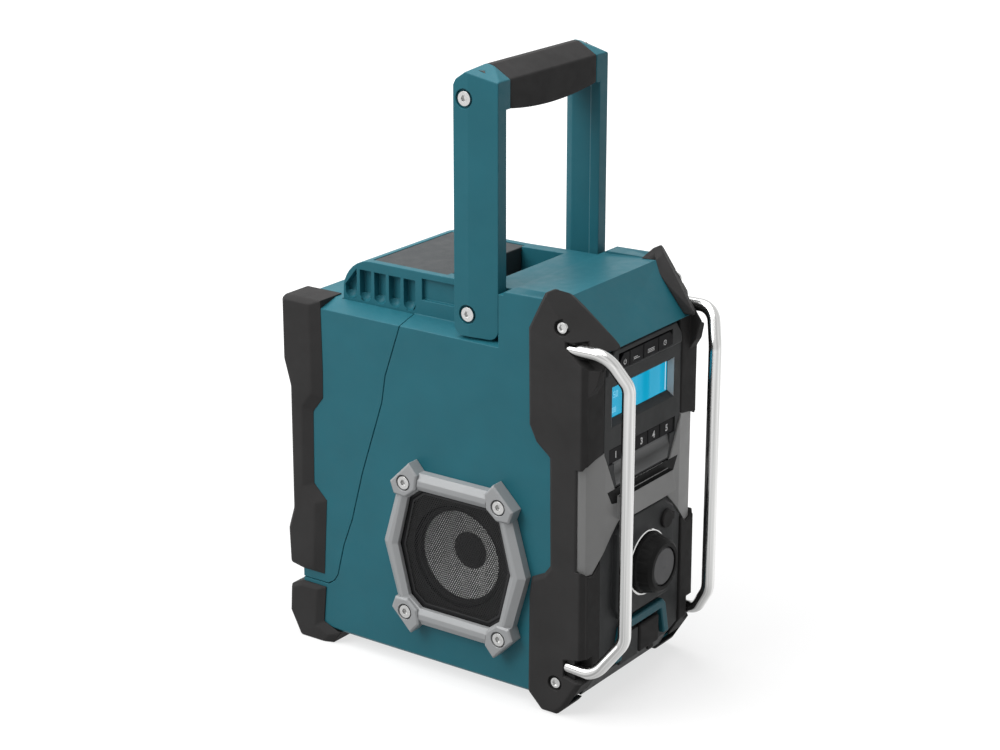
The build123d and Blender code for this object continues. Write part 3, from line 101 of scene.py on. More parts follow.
def blend(nodes, links, low, high, share):
    """Colour that runs from low to high as share runs from 0 to 1."""
    mix = nodes.new("ShaderNodeMix")
    mix.data_type = "RGBA"
    mix.inputs["A"].default_value = (*low, 1)
    mix.inputs["B"].default_value = (*high, 1)
    links.new(share, mix.inputs["Factor"])
    return mix.outputs["Result"]


def bumped(nodes, links, shader, height, strength, depth):
    """Lets a height between 0 and 1 raise the shaded surface by depth metres."""
    bump = nodes.new("ShaderNodeBump")
    bump.inputs["Strength"].default_value = strength
    bump.inputs["Distance"].default_value = depth
    links.new(height, bump.inputs["Height"])
    links.new(bump.outputs["Normal"], shader.inputs["Normal"])


def math_of(nodes, links, kind, *values):
    """Math node of a kind over values, each a number or another node's output."""
    node = nodes.new("ShaderNodeMath")
    node.operation = kind
    for socket, value in zip(node.inputs, values):
        if isinstance(value, float):
            socket.default_value = value
        else:
            links.new(value, socket)
    return node.outputs["Value"]


def moulded(name, colour, rough, grain, depth, drift=0.10, metal=0.0, shine=0.5, coat=0.0):
    """Plastic, rubber or paint. Colour drifts by a share either way over some 30 mm,
    roughness wanders over some 8 mm, and the bump has grains of 1 / grain metres."""
    made, nodes, links, shader = graph(name)
    where = nodes.new("ShaderNodeTexCoord").outputs["Object"]
    darker = [c * (1 - drift) for c in colour]
    lighter = [min(1, c * (1 + drift)) for c in colour]
    tone = blend(nodes, links, darker, lighter, mottled(nodes, links, where, 32, 0, 1))
    links.new(tone, shader.inputs["Base Color"])
    links.new(
        mottled(nodes, links, where, 130, rough - 0.05, rough + 0.05),
        shader.inputs["Roughness"],
    )
    bumped(nodes, links, shader, mottled(nodes, links, where, grain, 0, 1, 3), 0.35, depth)
    shader.inputs["Metallic"].default_value = metal
    shader.inputs["Specular IOR Level"].default_value = shine
    shader.inputs["Coat Weight"].default_value = coat
    made.diffuse_color = (*colour, 1)
    return made


print("recipe ready")

# %% [markdown]
# With the recipe at hand each plain finish is one line: its colour, how rough it is and
# how coarse its grain. Colours are shares of reflected light, so even a lively teal is a
# small number. Each finish could have a cell of its own, but side by side in one table it
# is easy to see how rubber, paint and shell differ.

# %% The plain finishes
finish = {
    "teal_shell": moulded("teal_moulding", (0.016, 0.128, 0.165), 0.46, 2600, 0.00006,
                          drift=0.05, shine=0.22),
    "black_rubber": moulded("bumper_rubber", (0.036, 0.035, 0.035), 0.70, 1900, 0.00012,
                            drift=0.10, shine=0.12),
    "grey_trim": moulded("grey_wing_plastic", (0.325, 0.325, 0.323), 0.42, 2200, 0.00005,
                         drift=0.04, shine=0.35),
    "dark_plastic": moulded("panel_plastic", (0.050, 0.052, 0.053), 0.50, 2400, 0.00006,
                            shine=0.12),
    "key_plastic": moulded("key_plastic", (0.008, 0.008, 0.009), 0.45, 3000, 0.00003,
                           shine=0.06),
    "knob_rubber": moulded("knob_rubber", (0.008, 0.008, 0.008), 0.55, 2200, 0.00008,
                           shine=0.10),
    "knob_face": moulded("knob_face_plastic", (0.085, 0.085, 0.088), 0.45, 2400, 0.00004,
                         shine=0.3),
    "silver_frame": moulded("silver_paint", (0.345, 0.353, 0.359), 0.42, 3200, 0.00004,
                            drift=0.03, metal=0.10, shine=0.25),
    "grille_mesh": moulded("grille_coat", (0.014, 0.014, 0.015), 0.45, 2600, 0.00003,
                           shine=0.25),
    "basket_steel": moulded("basket_paint", (0.012, 0.012, 0.012), 0.5, 1800, 0.00004),
    "core_plastic": moulded("core_plastic", (0.05, 0.05, 0.05), 0.5, 2000, 0.00004),
    "circuit_board": moulded("solder_mask", (0.012, 0.10, 0.045), 0.3, 900, 0.00003,
                             coat=0.4),
    "encoder_metal": moulded("encoder_metal", (0.45, 0.45, 0.45), 0.35, 1500, 0.00003,
                             metal=1.0),
    "terminal_plastic": moulded("terminal_plastic", (0.02, 0.02, 0.02), 0.5, 2000, 0.00004),
}
print("plain finishes:", len(finish))

# %% [markdown]
# Where the guard bars run into the corners, the pockets round them lie deep in shade, on the
# housing's faces as well. That shade is painted: the shell's finish turns black inside two boxes
# at each side, with the same noise over it.


# %% Painted shade in the bar pockets
def line_pockets(made, heights, beyond_x, before_y):
    """Paints shade, as black, into a finish where |x| > beyond_x, y < before_y and z lies in one
    of heights.
    The four tests are 0 or 1, so their product and maximum pick the colour."""
    nodes, links = made.node_tree.nodes, made.node_tree.links
    shader = next(n for n in nodes if n.type == "BSDF_PRINCIPLED")
    tone = shader.inputs["Base Color"].links[0].from_socket
    where = next(n for n in nodes if n.type == "TEX_COORD").outputs["Object"]
    axes = nodes.new("ShaderNodeSeparateXYZ")
    links.new(where, axes.inputs[0])

    def logic(kind, *values):
        return math_of(nodes, links, kind, *values)

    outside = logic("GREATER_THAN", logic("ABSOLUTE", axes.outputs["X"]), beyond_x)
    ahead = logic("LESS_THAN", axes.outputs["Y"], before_y)
    bands = [
        logic("COMPARE", axes.outputs["Z"], (low + high) / 2, (high - low) / 2)
        for low, high in heights
    ]
    in_shade = logic("MULTIPLY", logic("MULTIPLY", outside, ahead), logic("MAXIMUM", *bands))
    pick = nodes.new("ShaderNodeMix")
    pick.data_type = "RGBA"
    pick.inputs["B"].default_value = pocket_shade_black
    links.new(in_shade, pick.inputs["Factor"])
    links.new(tone, pick.inputs["A"])
    links.new(pick.outputs["Result"], shader.inputs["Base Color"])


# Painted shade: black that stands in for the shade deep in the bar pockets.
pocket_shade_black = (0.022, 0.022, 0.022, 1)
pocket_heights = ((0.2410, 0.2625), (0.0200, 0.0490))
pocket_x, pocket_y = 0.0585, -0.0945
line_pockets(finish["teal_shell"], pocket_heights, pocket_x, pocket_y)
print("pockets lined:", 2 * len(pocket_heights))

# %% [markdown]
# The panel on top carries a fine pattern of raised dots, cut into the mould so that it
# grips and hides scratches. A Voronoi texture with its points held on a straight lattice
# gives one dot to a cell, and the distance to the nearest point shapes it: flat on top,
# with a sloping flank down to its foot.


# %% Dotted panel
def dotted(name, colour, rough, cells):
    """Plastic with round dots on a square lattice of so many cells a metre. With radii in
    cells, the height is (foot - distance) / (foot - top), cut at 0 and 1."""
    made, nodes, links, shader = graph(name)
    where = nodes.new("ShaderNodeTexCoord").outputs["Object"]
    lattice = nodes.new("ShaderNodeTexVoronoi")
    lattice.voronoi_dimensions = "2D"
    lattice.inputs["Scale"].default_value = cells
    lattice.inputs["Randomness"].default_value = 0.0
    links.new(where, lattice.inputs["Vector"])
    height = nodes.new("ShaderNodeMapRange")
    height.inputs["From Min"].default_value = dot_foot
    height.inputs["From Max"].default_value = dot_top
    links.new(lattice.outputs["Distance"], height.inputs["Value"])
    # Painted light: the colour is darker between the dots as painted shade and lighter on their
    # tops as painted highlight.
    between, on_dot = [c * 0.72 for c in colour], [c * 1.12 for c in colour]
    tone = blend(nodes, links, between, on_dot, height.outputs["Result"])
    links.new(tone, shader.inputs["Base Color"])
    bumped(nodes, links, shader, height.outputs["Result"], 0.5, 0.00015)
    links.new(
        mottled(nodes, links, where, 130, rough - 0.05, rough + 0.05),
        shader.inputs["Roughness"],
    )
    shader.inputs["Specular IOR Level"].default_value = 0.25
    made.diffuse_color = (*colour, 1)
    return made


dots_a_metre, dot_foot, dot_top = 620, 0.42, 0.22
finish["grey_panel"] = dotted("dotted_panel", (0.050, 0.055, 0.058), 0.55, dots_a_metre)
print("dotted panel: dots", round(1000 / dots_a_metre, 2), "mm apart")

# %% [markdown]
# Polished steel is mirror first and colour second. Its polish isn't perfect: a bar is drawn
# through a die and ground lengthwise, which leaves its roughness streaked along it, and soft
# cloudy patches widen the reflections in places. The bars' tint also runs in dark and bright
# streaks along them, which is painted reflection of dark things round the studio. The screws,
# which are turned, only have the clouds.


# %% Bright metals
def bright(name, low, high, rough, cells, along=None):
    """Metal whose tint runs from low to high and whose roughness varies, both over noise
    of so many cells a metre, read from Object coordinates or from the attribute along."""
    made, nodes, links, shader = graph(name)
    if along:
        read = nodes.new("ShaderNodeAttribute")
        read.attribute_name = along
        where = read.outputs["Vector"]
    else:
        where = nodes.new("ShaderNodeTexCoord").outputs["Object"]
    links.new(
        mottled(nodes, links, where, cells * 2, rough * 0.7, rough * 1.3),
        shader.inputs["Roughness"],
    )
    darker_tint, lighter_tint = (low, low, low * 0.99), (high, high, high * 0.99)
    tone = blend(nodes, links, darker_tint, lighter_tint, mottled(nodes, links, where, cells, 0, 1))
    links.new(tone, shader.inputs["Base Color"])
    shader.inputs["Metallic"].default_value = 1.0
    made.diffuse_color = (high, high, high, 1)
    return made


# Painted reflection: the bars' tint runs from 0.24 to 0.80 in streaks along them, standing in for
# dark surroundings seen in the steel.
reflection_streaked = bright("polished_bar", 0.24, 0.80, 0.19, 330, "around_bar")
finish["bar_chrome"] = bright("polished_ring", 0.62, 0.74, 0.14, 900)
finish["screw_steel"] = bright("bright_screw", 0.40, 0.52, 0.24, 1400)
print("bright metals: 3")

# %% [markdown]
# The loudspeaker's cone, its rubber roll and its dust cap are one solid in the CAD, but
# three materials in life: dark foam at the rim, pale pressed paper, and a dark felt cap.
# Splitting the mesh would do it, yet the borders are circles about the driver's axis, so
# the distance from that axis can pick the colour inside the finish.

# %% Cone paper, roll and cap
speaker_y, speaker_z = -10.7 * MM, 93.3 * MM
cone_r, cap_r = 31.0 * MM, 13.3 * MM
ramp_reach, ramp_blur = 40.0 * MM, 0.01


def cone_finish():
    """Colour steps by the radius sqrt(y*y + z*z) from the driver's axis."""
    made, nodes, links, shader = graph("cone_paper_and_roll")
    where = nodes.new("ShaderNodeTexCoord").outputs["Object"]
    centre = nodes.new("ShaderNodeMapping")
    centre.inputs["Location"].default_value = (0, -speaker_y, -speaker_z)
    links.new(where, centre.inputs["Vector"])
    flat = nodes.new("ShaderNodeVectorMath")
    flat.operation = "MULTIPLY"
    flat.inputs[1].default_value = (0, 1, 1)
    links.new(centre.outputs["Vector"], flat.inputs[0])
    reach = nodes.new("ShaderNodeVectorMath")
    reach.operation = "LENGTH"
    links.new(flat.outputs["Vector"], reach.inputs[0])
    share = math_of(nodes, links, "DIVIDE", reach.outputs["Value"], ramp_reach)
    steps = nodes.new("ShaderNodeValToRGB")
    steps.color_ramp.interpolation = "LINEAR"
    paper, dark = (0.93, 0.93, 0.92, 1), (0.020, 0.020, 0.021, 1)
    borders = [r / ramp_reach + side for r in (cap_r, cone_r) for side in (-ramp_blur, ramp_blur)]
    places = (0.0, *borders)
    marks = steps.color_ramp.elements
    while len(marks) < len(places):
        marks.new(0.5)
    for mark, place, colour in zip(marks, places, (dark, dark, paper, paper, dark)):
        mark.position = place
        mark.color = colour
    links.new(share, steps.inputs["Fac"])
    links.new(steps.outputs["Color"], shader.inputs["Base Color"])
    links.new(mottled(nodes, links, where, 700, 0.7, 0.9), shader.inputs["Roughness"])
    return made


finish["cone_paper"] = cone_finish()
print("cone finish: paper out to", cone_r / MM, "mm")

# %% [markdown]
# The display is the one thing that really glows; a white line along its window's right edge glows
# too, as a painted highlight. Its blue comes from a lit sheet behind the liquid crystal, a little
# uneven from side to side. An emission with a gentle noise gives that, and the window in front is
# clear plastic, because its reflection is half the effect.


# %% Display light and its window
def glowing(name, low, high, cells):
    """Emission that drifts between two colours over noise of so many cells a metre."""
    made, nodes, links, shader = graph(name)
    where = nodes.new("ShaderNodeTexCoord").outputs["Object"]
    squeeze = nodes.new("ShaderNodeMapping")
    squeeze.inputs["Scale"].default_value = (1, 1, 0.1)
    links.new(where, squeeze.inputs["Vector"])
    drift = mottled(nodes, links, squeeze.outputs["Vector"], cells, 0, 1)
    tone = blend(nodes, links, low, high, drift)
    links.new(tone, shader.inputs["Emission Color"])
    shader.inputs["Emission Strength"].default_value = 1.0
    shader.inputs["Base Color"].default_value = (0.01, 0.01, 0.01, 1)
    shader.inputs["Roughness"].default_value = 0.5
    return made


def clear_window():
    """Thin clear plastic with a faint waviness in its gloss."""
    made, nodes, links, shader = graph("clear_window")
    where = nodes.new("ShaderNodeTexCoord").outputs["Object"]
    shader.inputs["Base Color"].default_value = (0.95, 0.98, 1.0, 1)
    shader.inputs["Transmission Weight"].default_value = 1.0
    shader.inputs["IOR"].default_value = 1.2
    links.new(mottled(nodes, links, where, 200, 0.02, 0.05), shader.inputs["Roughness"])
    return made


finish["display_glass"] = clear_window()
finish["display_body"] = glowing(
    "display_backlight", (0.003, 0.320, 0.500), (0.016, 0.390, 0.620), 60
)
crystal = glowing("display_marks", (0.16, 0.55, 0.78), (0.22, 0.62, 0.82), 80)
# Painted highlight: a glowing near-white for the glint along the window's right edge.
painted_glint = glowing("display_edge", (0.75, 0.85, 0.90), (0.85, 0.92, 0.95), 80)
print("display finishes made")

# %% [markdown]
# Some thin parts added further down belong to no CAD node: an insert of the front, near-white
# plates of painted light on the display window's walls, and the ink on the keys. The same recipe
# serves for all, and they are kept apart from the table that dresses the nodes.

# %% Finishes of the insert, the painted light and the ink
scoop_grey = moulded("scoop_plastic", (0.225, 0.228, 0.230), 0.5, 2400, 0.00004, shine=0.2)
# Painted light: near-white that stands in for the light falling on the window's right wall.
lit_wall_paint = moulded("window_wall_light_paint", (0.800, 0.820, 0.830), 0.5, 2400, 0.00004)
printing = moulded("white_printing", (0.95, 0.95, 0.95), 0.5, 3000, 0.00001, drift=0.03)
print("insert and ink finishes: 3")

# %% [markdown]
# Every carried-over CAD piece now takes its finish. The CAD object itself is never
# moved or reshaped, and its material slot is all that changes.

# %% Dress the CAD nodes
for node, obj in frame["nodes"].items():
    obj.data.materials.clear()
    obj.data.materials.append(finish[slot_of[node]])
print("nodes dressed:", len(frame["nodes"]))

# %% [markdown]
# New pieces are arrays of points. A few small tools do the bookkeeping: some turn a grid
# of points into faces, and the others make the mesh, point its faces outwards and set it
# riding on its body. Primitives could be edited into the same shapes, but an array of
# points says the shape outright.


# %% Tools for new pieces
def ring_faces(rows, around):
    """Quads between rows of points that close on themselves, and a fan over each end.
    Row i, place j is point i * around + j; the two end centres come last."""
    i, j = np.meshgrid(np.arange(rows - 1), np.arange(around), indexing="ij")
    k = (j + 1) % around
    quads = np.stack(
        [i * around + j, i * around + k, (i + 1) * around + k, (i + 1) * around + j], -1
    ).reshape(-1, 4)
    j = np.arange(around)
    k = (j + 1) % around
    first, last = rows * around, rows * around + 1
    start = np.stack([np.full(around, first), k, j], -1)
    end = np.stack([np.full(around, last), (rows - 1) * around + j,
                    (rows - 1) * around + k], -1)
    return quads.tolist() + start.tolist() + end.tolist()


def loop_faces(rows, around):
    """Quads of a grid that closes on itself both ways, like a tyre. Row i, place j is
    point i * around + j."""
    i, j = np.meshgrid(np.arange(rows), np.arange(around), indexing="ij")
    up, beside = (i + 1) % rows, (j + 1) % around
    return np.stack(
        [i * around + j, i * around + beside, up * around + beside, up * around + j], -1
    ).reshape(-1, 4).tolist()


def skin(rings):
    """Closed shell over rings of points, shape (rows, around, 3)."""
    rows, around, _ = rings.shape
    points = np.vstack([rings.reshape(-1, 3), rings[0].mean(0), rings[-1].mean(0)])
    return points, ring_faces(rows, around)


def piece(name, points, faces, look, body, slot, stands_for=(), smooth=32):
    """Mesh in millimetres made into a piece: doubles merged, faces turned outwards,
    shaded smooth across edges flatter than smooth degrees."""
    mesh = bpy.data.meshes.new(name)
    mesh.from_pydata((np.asarray(points, float) * MM).tolist(), [], faces)
    work = bmesh.new()
    work.from_mesh(mesh)
    bmesh.ops.remove_doubles(work, verts=work.verts, dist=1e-6)
    bmesh.ops.recalc_face_normals(work, faces=work.faces)
    work.to_mesh(mesh)
    work.free()
    mesh.shade_smooth()
    mesh.set_sharp_from_angle(angle=math.radians(smooth))
    return settle(mesh, name, look, body, stands_for)


def settle(mesh, name, look, body, stands_for):
    """Object for a finished mesh, with its finish, body and the nodes it covers."""
    mesh.materials.clear()
    mesh.materials.append(look)
    obj = bpy.data.objects.new(name, mesh)
    bpy.context.scene.collection.objects.link(obj)
    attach(obj, body)
    if stands_for:
        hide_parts(*stands_for)
    return obj


print("tools ready")

# %% [markdown]
# A mould never leaves a knife edge. The CAD's solids meet in sharp lines, which catch no
# light, so the housing, the rubber and the keys would look like paper. Modelling each
# rounding in CAD would be slow; instead a copy of each mesh is welded, its flat faces
# are joined again, and a Bevel rolls every edge sharper than a given turn. Beside a
# narrow step there is no room for a full rounding, just as in a real mould, so each edge
# first gets a weight: the share of the rounding that the faces beside it can hold.


# %% Room for a rounding
def apart(starts, ends):
    """Least distance between each two of some segments, as a square array. For segments
    that don't cross it is the least of the four distances from an end to the other."""
    def ends_off(points, a, b):
        along = b - a
        off = points[:, None] - a[None]
        share = np.clip(
            (off * along[None]).sum(-1) / np.maximum((along**2).sum(-1), 1e-18), 0, 1
        )
        return np.linalg.norm(off - share[..., None] * along[None], axis=-1)

    one = np.minimum(ends_off(starts, starts, ends), ends_off(ends, starts, ends))
    return np.minimum(one, one.T)


def corner_room(length, sine, tangent, rolled_too):
    """Width that fits at a corner with the next edge: room_share of length *
    tan(angle / 2) where both are rolled, and of length * sin(angle) where one is, with
    the sine taken as at least 1/4."""
    return room_share * length * (tangent if rolled_too else max(sine, 0.25))


def room_for(work, sharp, width):
    """Room beside every sharp edge, in metres, no more than width."""
    room = {edge: width for edge in sharp}
    for face in work.faces:
        loops = list(face.loops)
        edges = [loop.edge for loop in loops]
        if not any(edge in sharp for edge in edges):
            continue
        starts = np.array([loop.vert.co for loop in loops])
        ends = np.roll(starts, -1, 0)
        far = apart(starts, ends)
        count = len(loops)
        place = np.arange(count)
        for step in (-1, 0, 1):
            far[place, (place + step) % count] = np.inf
        near = room_share * far.min(1)
        along = ends - starts
        length = np.linalg.norm(along, axis=1)
        along = along / np.maximum(length, 1e-12)[:, None]
        for k, edge in enumerate(edges):
            if edge not in sharp:
                continue
            best = min(room[edge], near[k])
            for other, one, two in ((k - 1, along[k], -along[k - 1]),
                                    ((k + 1) % count, -along[k], along[(k + 1) % count])):
                cosine = float(np.clip(one @ two, -1, 1))
                sine = math.sqrt(1 - cosine * cosine)
                tangent = sine / max(1 + cosine, 1e-6)
                both = edges[other] in sharp
                reach = min(length[other], length[k]) if both else length[other]
                best = min(best, corner_room(reach, sine, tangent, both))
            room[edge] = best
    return room


def is_crease(edge, turn):
    """True for an edge sharper than turn, and for a slight one between two broad flats."""
    if len(edge.link_faces) != 2:
        return False
    angle = edge.calc_face_angle(0.0)
    if angle > turn:
        return True
    if angle < math.radians(3):
        return False
    broad = [face.calc_area() / max(e.calc_length() for e in face.edges)
             for face in edge.link_faces]
    return min(broad) > 4 * MM


room_share = 0.45
print("roundings may take", room_share, "of the room beside them")

# %% [markdown]
# With the room known, the rolling itself is two modifiers. The Bevel takes each edge's
# width from its weight, and Weighted Normal keeps the broad faces flat to the eye while
# the narrow roll between them carries the highlight. The radii are guesses at what such
# moulds leave: about a millimetre on rubber, half of that on shells, less on screws.


# %% Rolled edges
def softened(node, radius, steps=2, turn=24):
    """Copy of a CAD piece with edges rolled over by radius millimetres."""
    mesh = frame["nodes"][node].data.copy()
    mesh.name = node + "_soft"
    work = bmesh.new()
    work.from_mesh(mesh)
    bmesh.ops.remove_doubles(work, verts=work.verts, dist=2e-6)
    bmesh.ops.dissolve_limit(
        work, angle_limit=math.radians(0.05), verts=work.verts, edges=work.edges,
        use_dissolve_boundaries=False,
    )
    weight = work.edges.layers.float.new("bevel_weight_edge")
    sharp = {edge for edge in work.edges if is_crease(edge, math.radians(turn))}
    room = room_for(work, sharp, radius * MM)
    for edge in work.edges:
        edge.smooth = True
    for edge in sharp:
        share = room[edge] / (radius * MM)
        if share < least_share:
            edge.smooth = False
        else:
            edge[weight] = share
    for face in work.faces:
        face.smooth = True
    work.to_mesh(mesh)
    work.free()
    obj = settle(
        mesh, node + "_soft", finish[slot_of[node]], body_of[node], (node,)
    )
    roll = obj.modifiers.new("rolled_edges", "BEVEL")
    roll.width = radius * MM
    roll.segments = steps
    roll.limit_method = "WEIGHT"
    roll.use_clamp_overlap = False
    flats = obj.modifiers.new("flat_shading", "WEIGHTED_NORMAL")
    flats.weight = 60
    flats.keep_sharp = True
    return obj


least_share = 0.06
rolled = {
    "main_housing": 0.5, "battery_door": 0.5, "top_panel": 0.4,
    "front_bumper_left": 1.0, "front_bumper_right": 1.0,
    "rear_bumper_left": 1.2, "rear_bumper_right": 1.2,
    "rear_foot_left": 1.2, "rear_foot_right": 1.2,
    "handle_arm_left": 0.8, "handle_arm_right": 0.8,
    "grey_trim": 0.5, "control_panel": 0.3, "knob_surround": 0.4, "port_surround": 0.4,
    "speaker_frame_left": 0.45, "speaker_frame_right": 0.45,
    "bumper_screws": 0.18, "frame_screws": 0.2, "grip_bolts": 0.22, "pivot_bolts": 0.22,
    "door_latch": 0.3,
}
for node, radius in rolled.items():
    softened(node, radius)
print("edges rolled on", len(rolled), "pieces")

# %% [markdown]
# Each guard bar is a round rod bent at four corners. A curve object could be bevelled
# into it, but the bend radius is a fact of the real bar, so the route is worked out:
# straight runs joined by arcs that touch both, then a circle carried along.


# %% Guard bars
def corner_arc(before, corner, after, radius, steps):
    """Arc that rounds a corner. It starts radius * tan(turn / 2) before the corner and
    sweeps the turn about a centre on the bisector."""
    back = (before - corner) / np.linalg.norm(before - corner)
    ahead = (after - corner) / np.linalg.norm(after - corner)
    turn = math.pi - math.acos(float(np.clip(back @ ahead, -1, 1)))
    start = corner + back * radius * math.tan(turn / 2)
    middle = (back + ahead) / np.linalg.norm(back + ahead)
    centre = corner + middle * radius / math.cos(turn / 2)
    out = (start - centre) / radius
    angle = np.linspace(0, turn, steps)[:, None]
    return centre + radius * (out * np.cos(angle) - back * np.sin(angle))


def bent_route(corners, radius, steps=12):
    """Points of a line whose inner corners become arcs of the given radius."""
    corners = np.asarray(corners, float)
    threes = zip(corners[:-2], corners[1:-1], corners[2:])
    arcs = [corner_arc(*three, radius, steps) for three in threes]
    return np.vstack([corners[:1], *arcs, corners[-1:]])


def across(route):
    """Unit vectors across a route at each station: one that leans to +X, and its mate."""
    along = np.gradient(route, axis=0)
    along /= np.linalg.norm(along, axis=1, keepdims=True)
    side = np.array([1.0, 0, 0]) - along * along[:, :1]
    side /= np.linalg.norm(side, axis=1, keepdims=True)
    return side, np.cross(along, side)


def rod(route, radius, around=40):
    """Circle of so many points carried along a route; its first point leans to +X."""
    side, other = across(route)
    angle = np.linspace(0, 2 * np.pi, around, endpoint=False)[None, :, None]
    return (
        route[:, None]
        + radius * (side[:, None] * np.cos(angle) + other[:, None] * np.sin(angle))
    )


def mark_length(bar, route):
    """Stores around_bar on each point: its offset from the route's nearest station, and
    a hundredth of the length travelled there as a third value, all in metres."""
    travelled = np.concatenate([[0], np.cumsum(np.linalg.norm(np.diff(route, axis=0), axis=1))])
    mesh = bar.data
    points = np.empty(len(mesh.vertices) * 3)
    mesh.vertices.foreach_get("co", points)
    points = points.reshape(-1, 3) / MM
    nearest = np.linalg.norm(points[:, None] - route[None], axis=2).argmin(1)
    side, other = across(route)
    off = points - route[nearest]
    marks = np.stack([
        (off * side[nearest]).sum(1),
        (off * other[nearest]).sum(1),
        travelled[nearest] / 100,
    ], -1) * MM
    store = mesh.attributes.new("around_bar", "FLOAT_VECTOR", "POINT")
    store.data.foreach_set("vector", marks.ravel())


bar_radius, bar_bend = 4.39, 14.0
bar_corners = [(64.6, -91.0, 254.5), (64.6, -124.5, 255.1), (53.0, -133.6, 233.0),
               (53.0, -133.6, 58.0), (64.6, -117.5, 34.6), (64.6, -91.0, 36.2)]
for sign, name in ((-1, "left"), (1, "right")):
    route = bent_route([(sign * x, y, z) for x, y, z in bar_corners], bar_bend)
    points, faces = skin(rod(route, bar_radius))
    node = "guard_bar_" + name
    bar = piece(node + "_bent", points, faces, reflection_streaked, body_of[node],
                slot_of[node], (node,), smooth=60)
    mark_length(bar, route)
print("guard bars:", len(route), "stations each")

# %% [markdown]
# The grip is a rubber sleeve with flats on top and a belly that fills the hand. Box
# modelling would do, but a section swept from arm to arm says it better: the outline's
# corners are rounded once, and only the lower half moves down towards the middle.


# %% Handle grip
def rounded_outline(corners, radius, steps=6):
    """Closed outline whose corners become arcs of the given radius."""
    corners = np.asarray(corners, float)
    threes = zip(np.roll(corners, 1, 0), corners, np.roll(corners, -1, 0))
    return np.vstack([corner_arc(*three, radius, steps) for three in threes])


grip_half, grip_sag, grip_lip, grip_round = 49.0, 4.0, 0.9, 2.2
belly_top, belly_deep = 412.0, 14.0
grip_outline = [(-7.0, 398.0), (-7.0, belly_top), (-21.5, 425.0), (-26.0, 425.0),
                (-40.0, 416.8), (-40.0, 398.0)]


def grip_rings(half, sag, lip):
    """Sections at x; the part below belly_top sinks by sag * (1 - (x / half)^2), and the
    last lip millimetres at each end draw in along a quarter circle."""
    section = rounded_outline(grip_outline, grip_round)
    x = np.concatenate([
        -half + lip * (1 - np.cos(np.linspace(0, np.pi / 2, 5))),
        np.linspace(-half + lip, half - lip, 33)[1:-1],
        half - lip * (1 - np.cos(np.linspace(np.pi / 2, 0, 5))),
    ])
    edge = np.clip((np.abs(x) - (half - lip)) / lip, 0, 1)
    draw = lip * (1 - np.sqrt(1 - edge**2))
    centre = section.mean(0)
    out = section - centre
    out /= np.linalg.norm(out, axis=1, keepdims=True)
    yz = section[None] - draw[:, None, None] * out[None]
    low = np.clip((belly_top - yz[..., 1]) / belly_deep, 0, 1)
    yz[..., 1] -= sag * (1 - (x[:, None] / half) ** 2) * low
    return np.concatenate([np.broadcast_to(x[:, None, None], yz[..., :1].shape), yz], -1)


points, faces = skin(grip_rings(grip_half, grip_sag, grip_lip))
piece("handle_grip_sleeve", points, faces, finish["black_rubber"], "handle",
      "black_rubber", ("handle_grip",), smooth=40)
print("grip:", len(points), "points")

# %% [markdown]
# The tuning knob has fourteen finger scallops, like a bottle cap seen from the front.
# Cutting cylinders out of a turned body leaves ragged edges; here the radius itself is
# the function: the turned profile, less what a round cutter at each scallop takes away.

# %% Tuning knob
knob_z, knob_r, knob_back, knob_front = 92.5, 20.8, -117.2, -131.0
scallops, cutter_r, cutter_at = 14, 2.2, 21.1
bore_r, cap_seat_r, cap_seat_y = 3.1, 13.5, -122.2
cut_from, cut_run = -120.6, 1.4


def knob_rings(around=14 * 20):
    """Rings of radius min(profile, cutter's near side) at each angle; the cut fades in
    ahead of the flange. The cutter's side is a cos d - sqrt(c^2 - (a sin d)^2)."""
    outer = rounded_outline(
        [(bore_r, knob_back), (knob_r, knob_back), (knob_r, -120.3), (19.9, -121.3),
         (18.4, -129.0), (16.2, knob_front), (cap_seat_r, knob_front),
         (cap_seat_r, cap_seat_y), (bore_r, cap_seat_y)],
        0.45, 5,
    )
    reach, depth = outer[:, 0], outer[:, 1]
    angle = np.linspace(0, 2 * np.pi, around, endpoint=False)
    pitch = 2 * np.pi / scallops
    off = (angle + pitch / 2) % pitch - pitch / 2
    inside = cutter_r**2 - (cutter_at * np.sin(off)) ** 2
    near = np.where(
        inside > 0, cutter_at * np.cos(off) - np.sqrt(np.clip(inside, 0, None)), 99.0
    )
    fade = np.clip((cut_from - depth) / cut_run, 0, 1)
    fade = fade * fade * (3 - 2 * fade)
    fade = np.where(reach < cap_seat_r + 0.4, 0, fade)
    radius = reach[:, None] - fade[:, None] * np.clip(reach[:, None] - near[None], 0, None)
    y = np.broadcast_to(depth[:, None], radius.shape)
    return np.stack(
        [radius * np.cos(angle), y, knob_z + radius * np.sin(angle)], -1
    )


rings = knob_rings()
rows, around, _ = rings.shape
piece("tuning_knob_scalloped", rings.reshape(-1, 3), loop_faces(rows, around),
      finish["knob_rubber"], "tuning_knob", "knob_rubber", ("tuning_knob",), smooth=38)
print("knob:", rows, "by", around, "points")

# %% [markdown]
# Behind each silver frame sits a sheet of punched steel. A bump map of dots would vanish
# from the side and let nothing show through, so the holes are real: a honeycomb of
# six-sided holes, thin enough to see the pale cone behind. The cells share corners, so
# Solidify closes the sheet with no walls between them.

# %% Punched grilles
mouth_quarter = [(46.5, 0.0), (37.6, 35.5), (28.0, 43.0)]
pitch, hole_r = 1.75, 0.80
sheet_x, rim_x, flange_x, rim_back_x = 69.95, 70.2, 69.5, 68.8
sheet_thick, rim_roll = 0.5, 0.2


def mouth(grow):
    """The ten-sided mouth of the frame, each corner moved out by grow, about (0, 0)."""
    q = np.array(mouth_quarter)
    q = q * (1 + grow / np.linalg.norm(q, axis=1, keepdims=True))
    upper = np.vstack([q, q[:0:-1] * [-1, 1]])
    return np.vstack([upper, -upper])


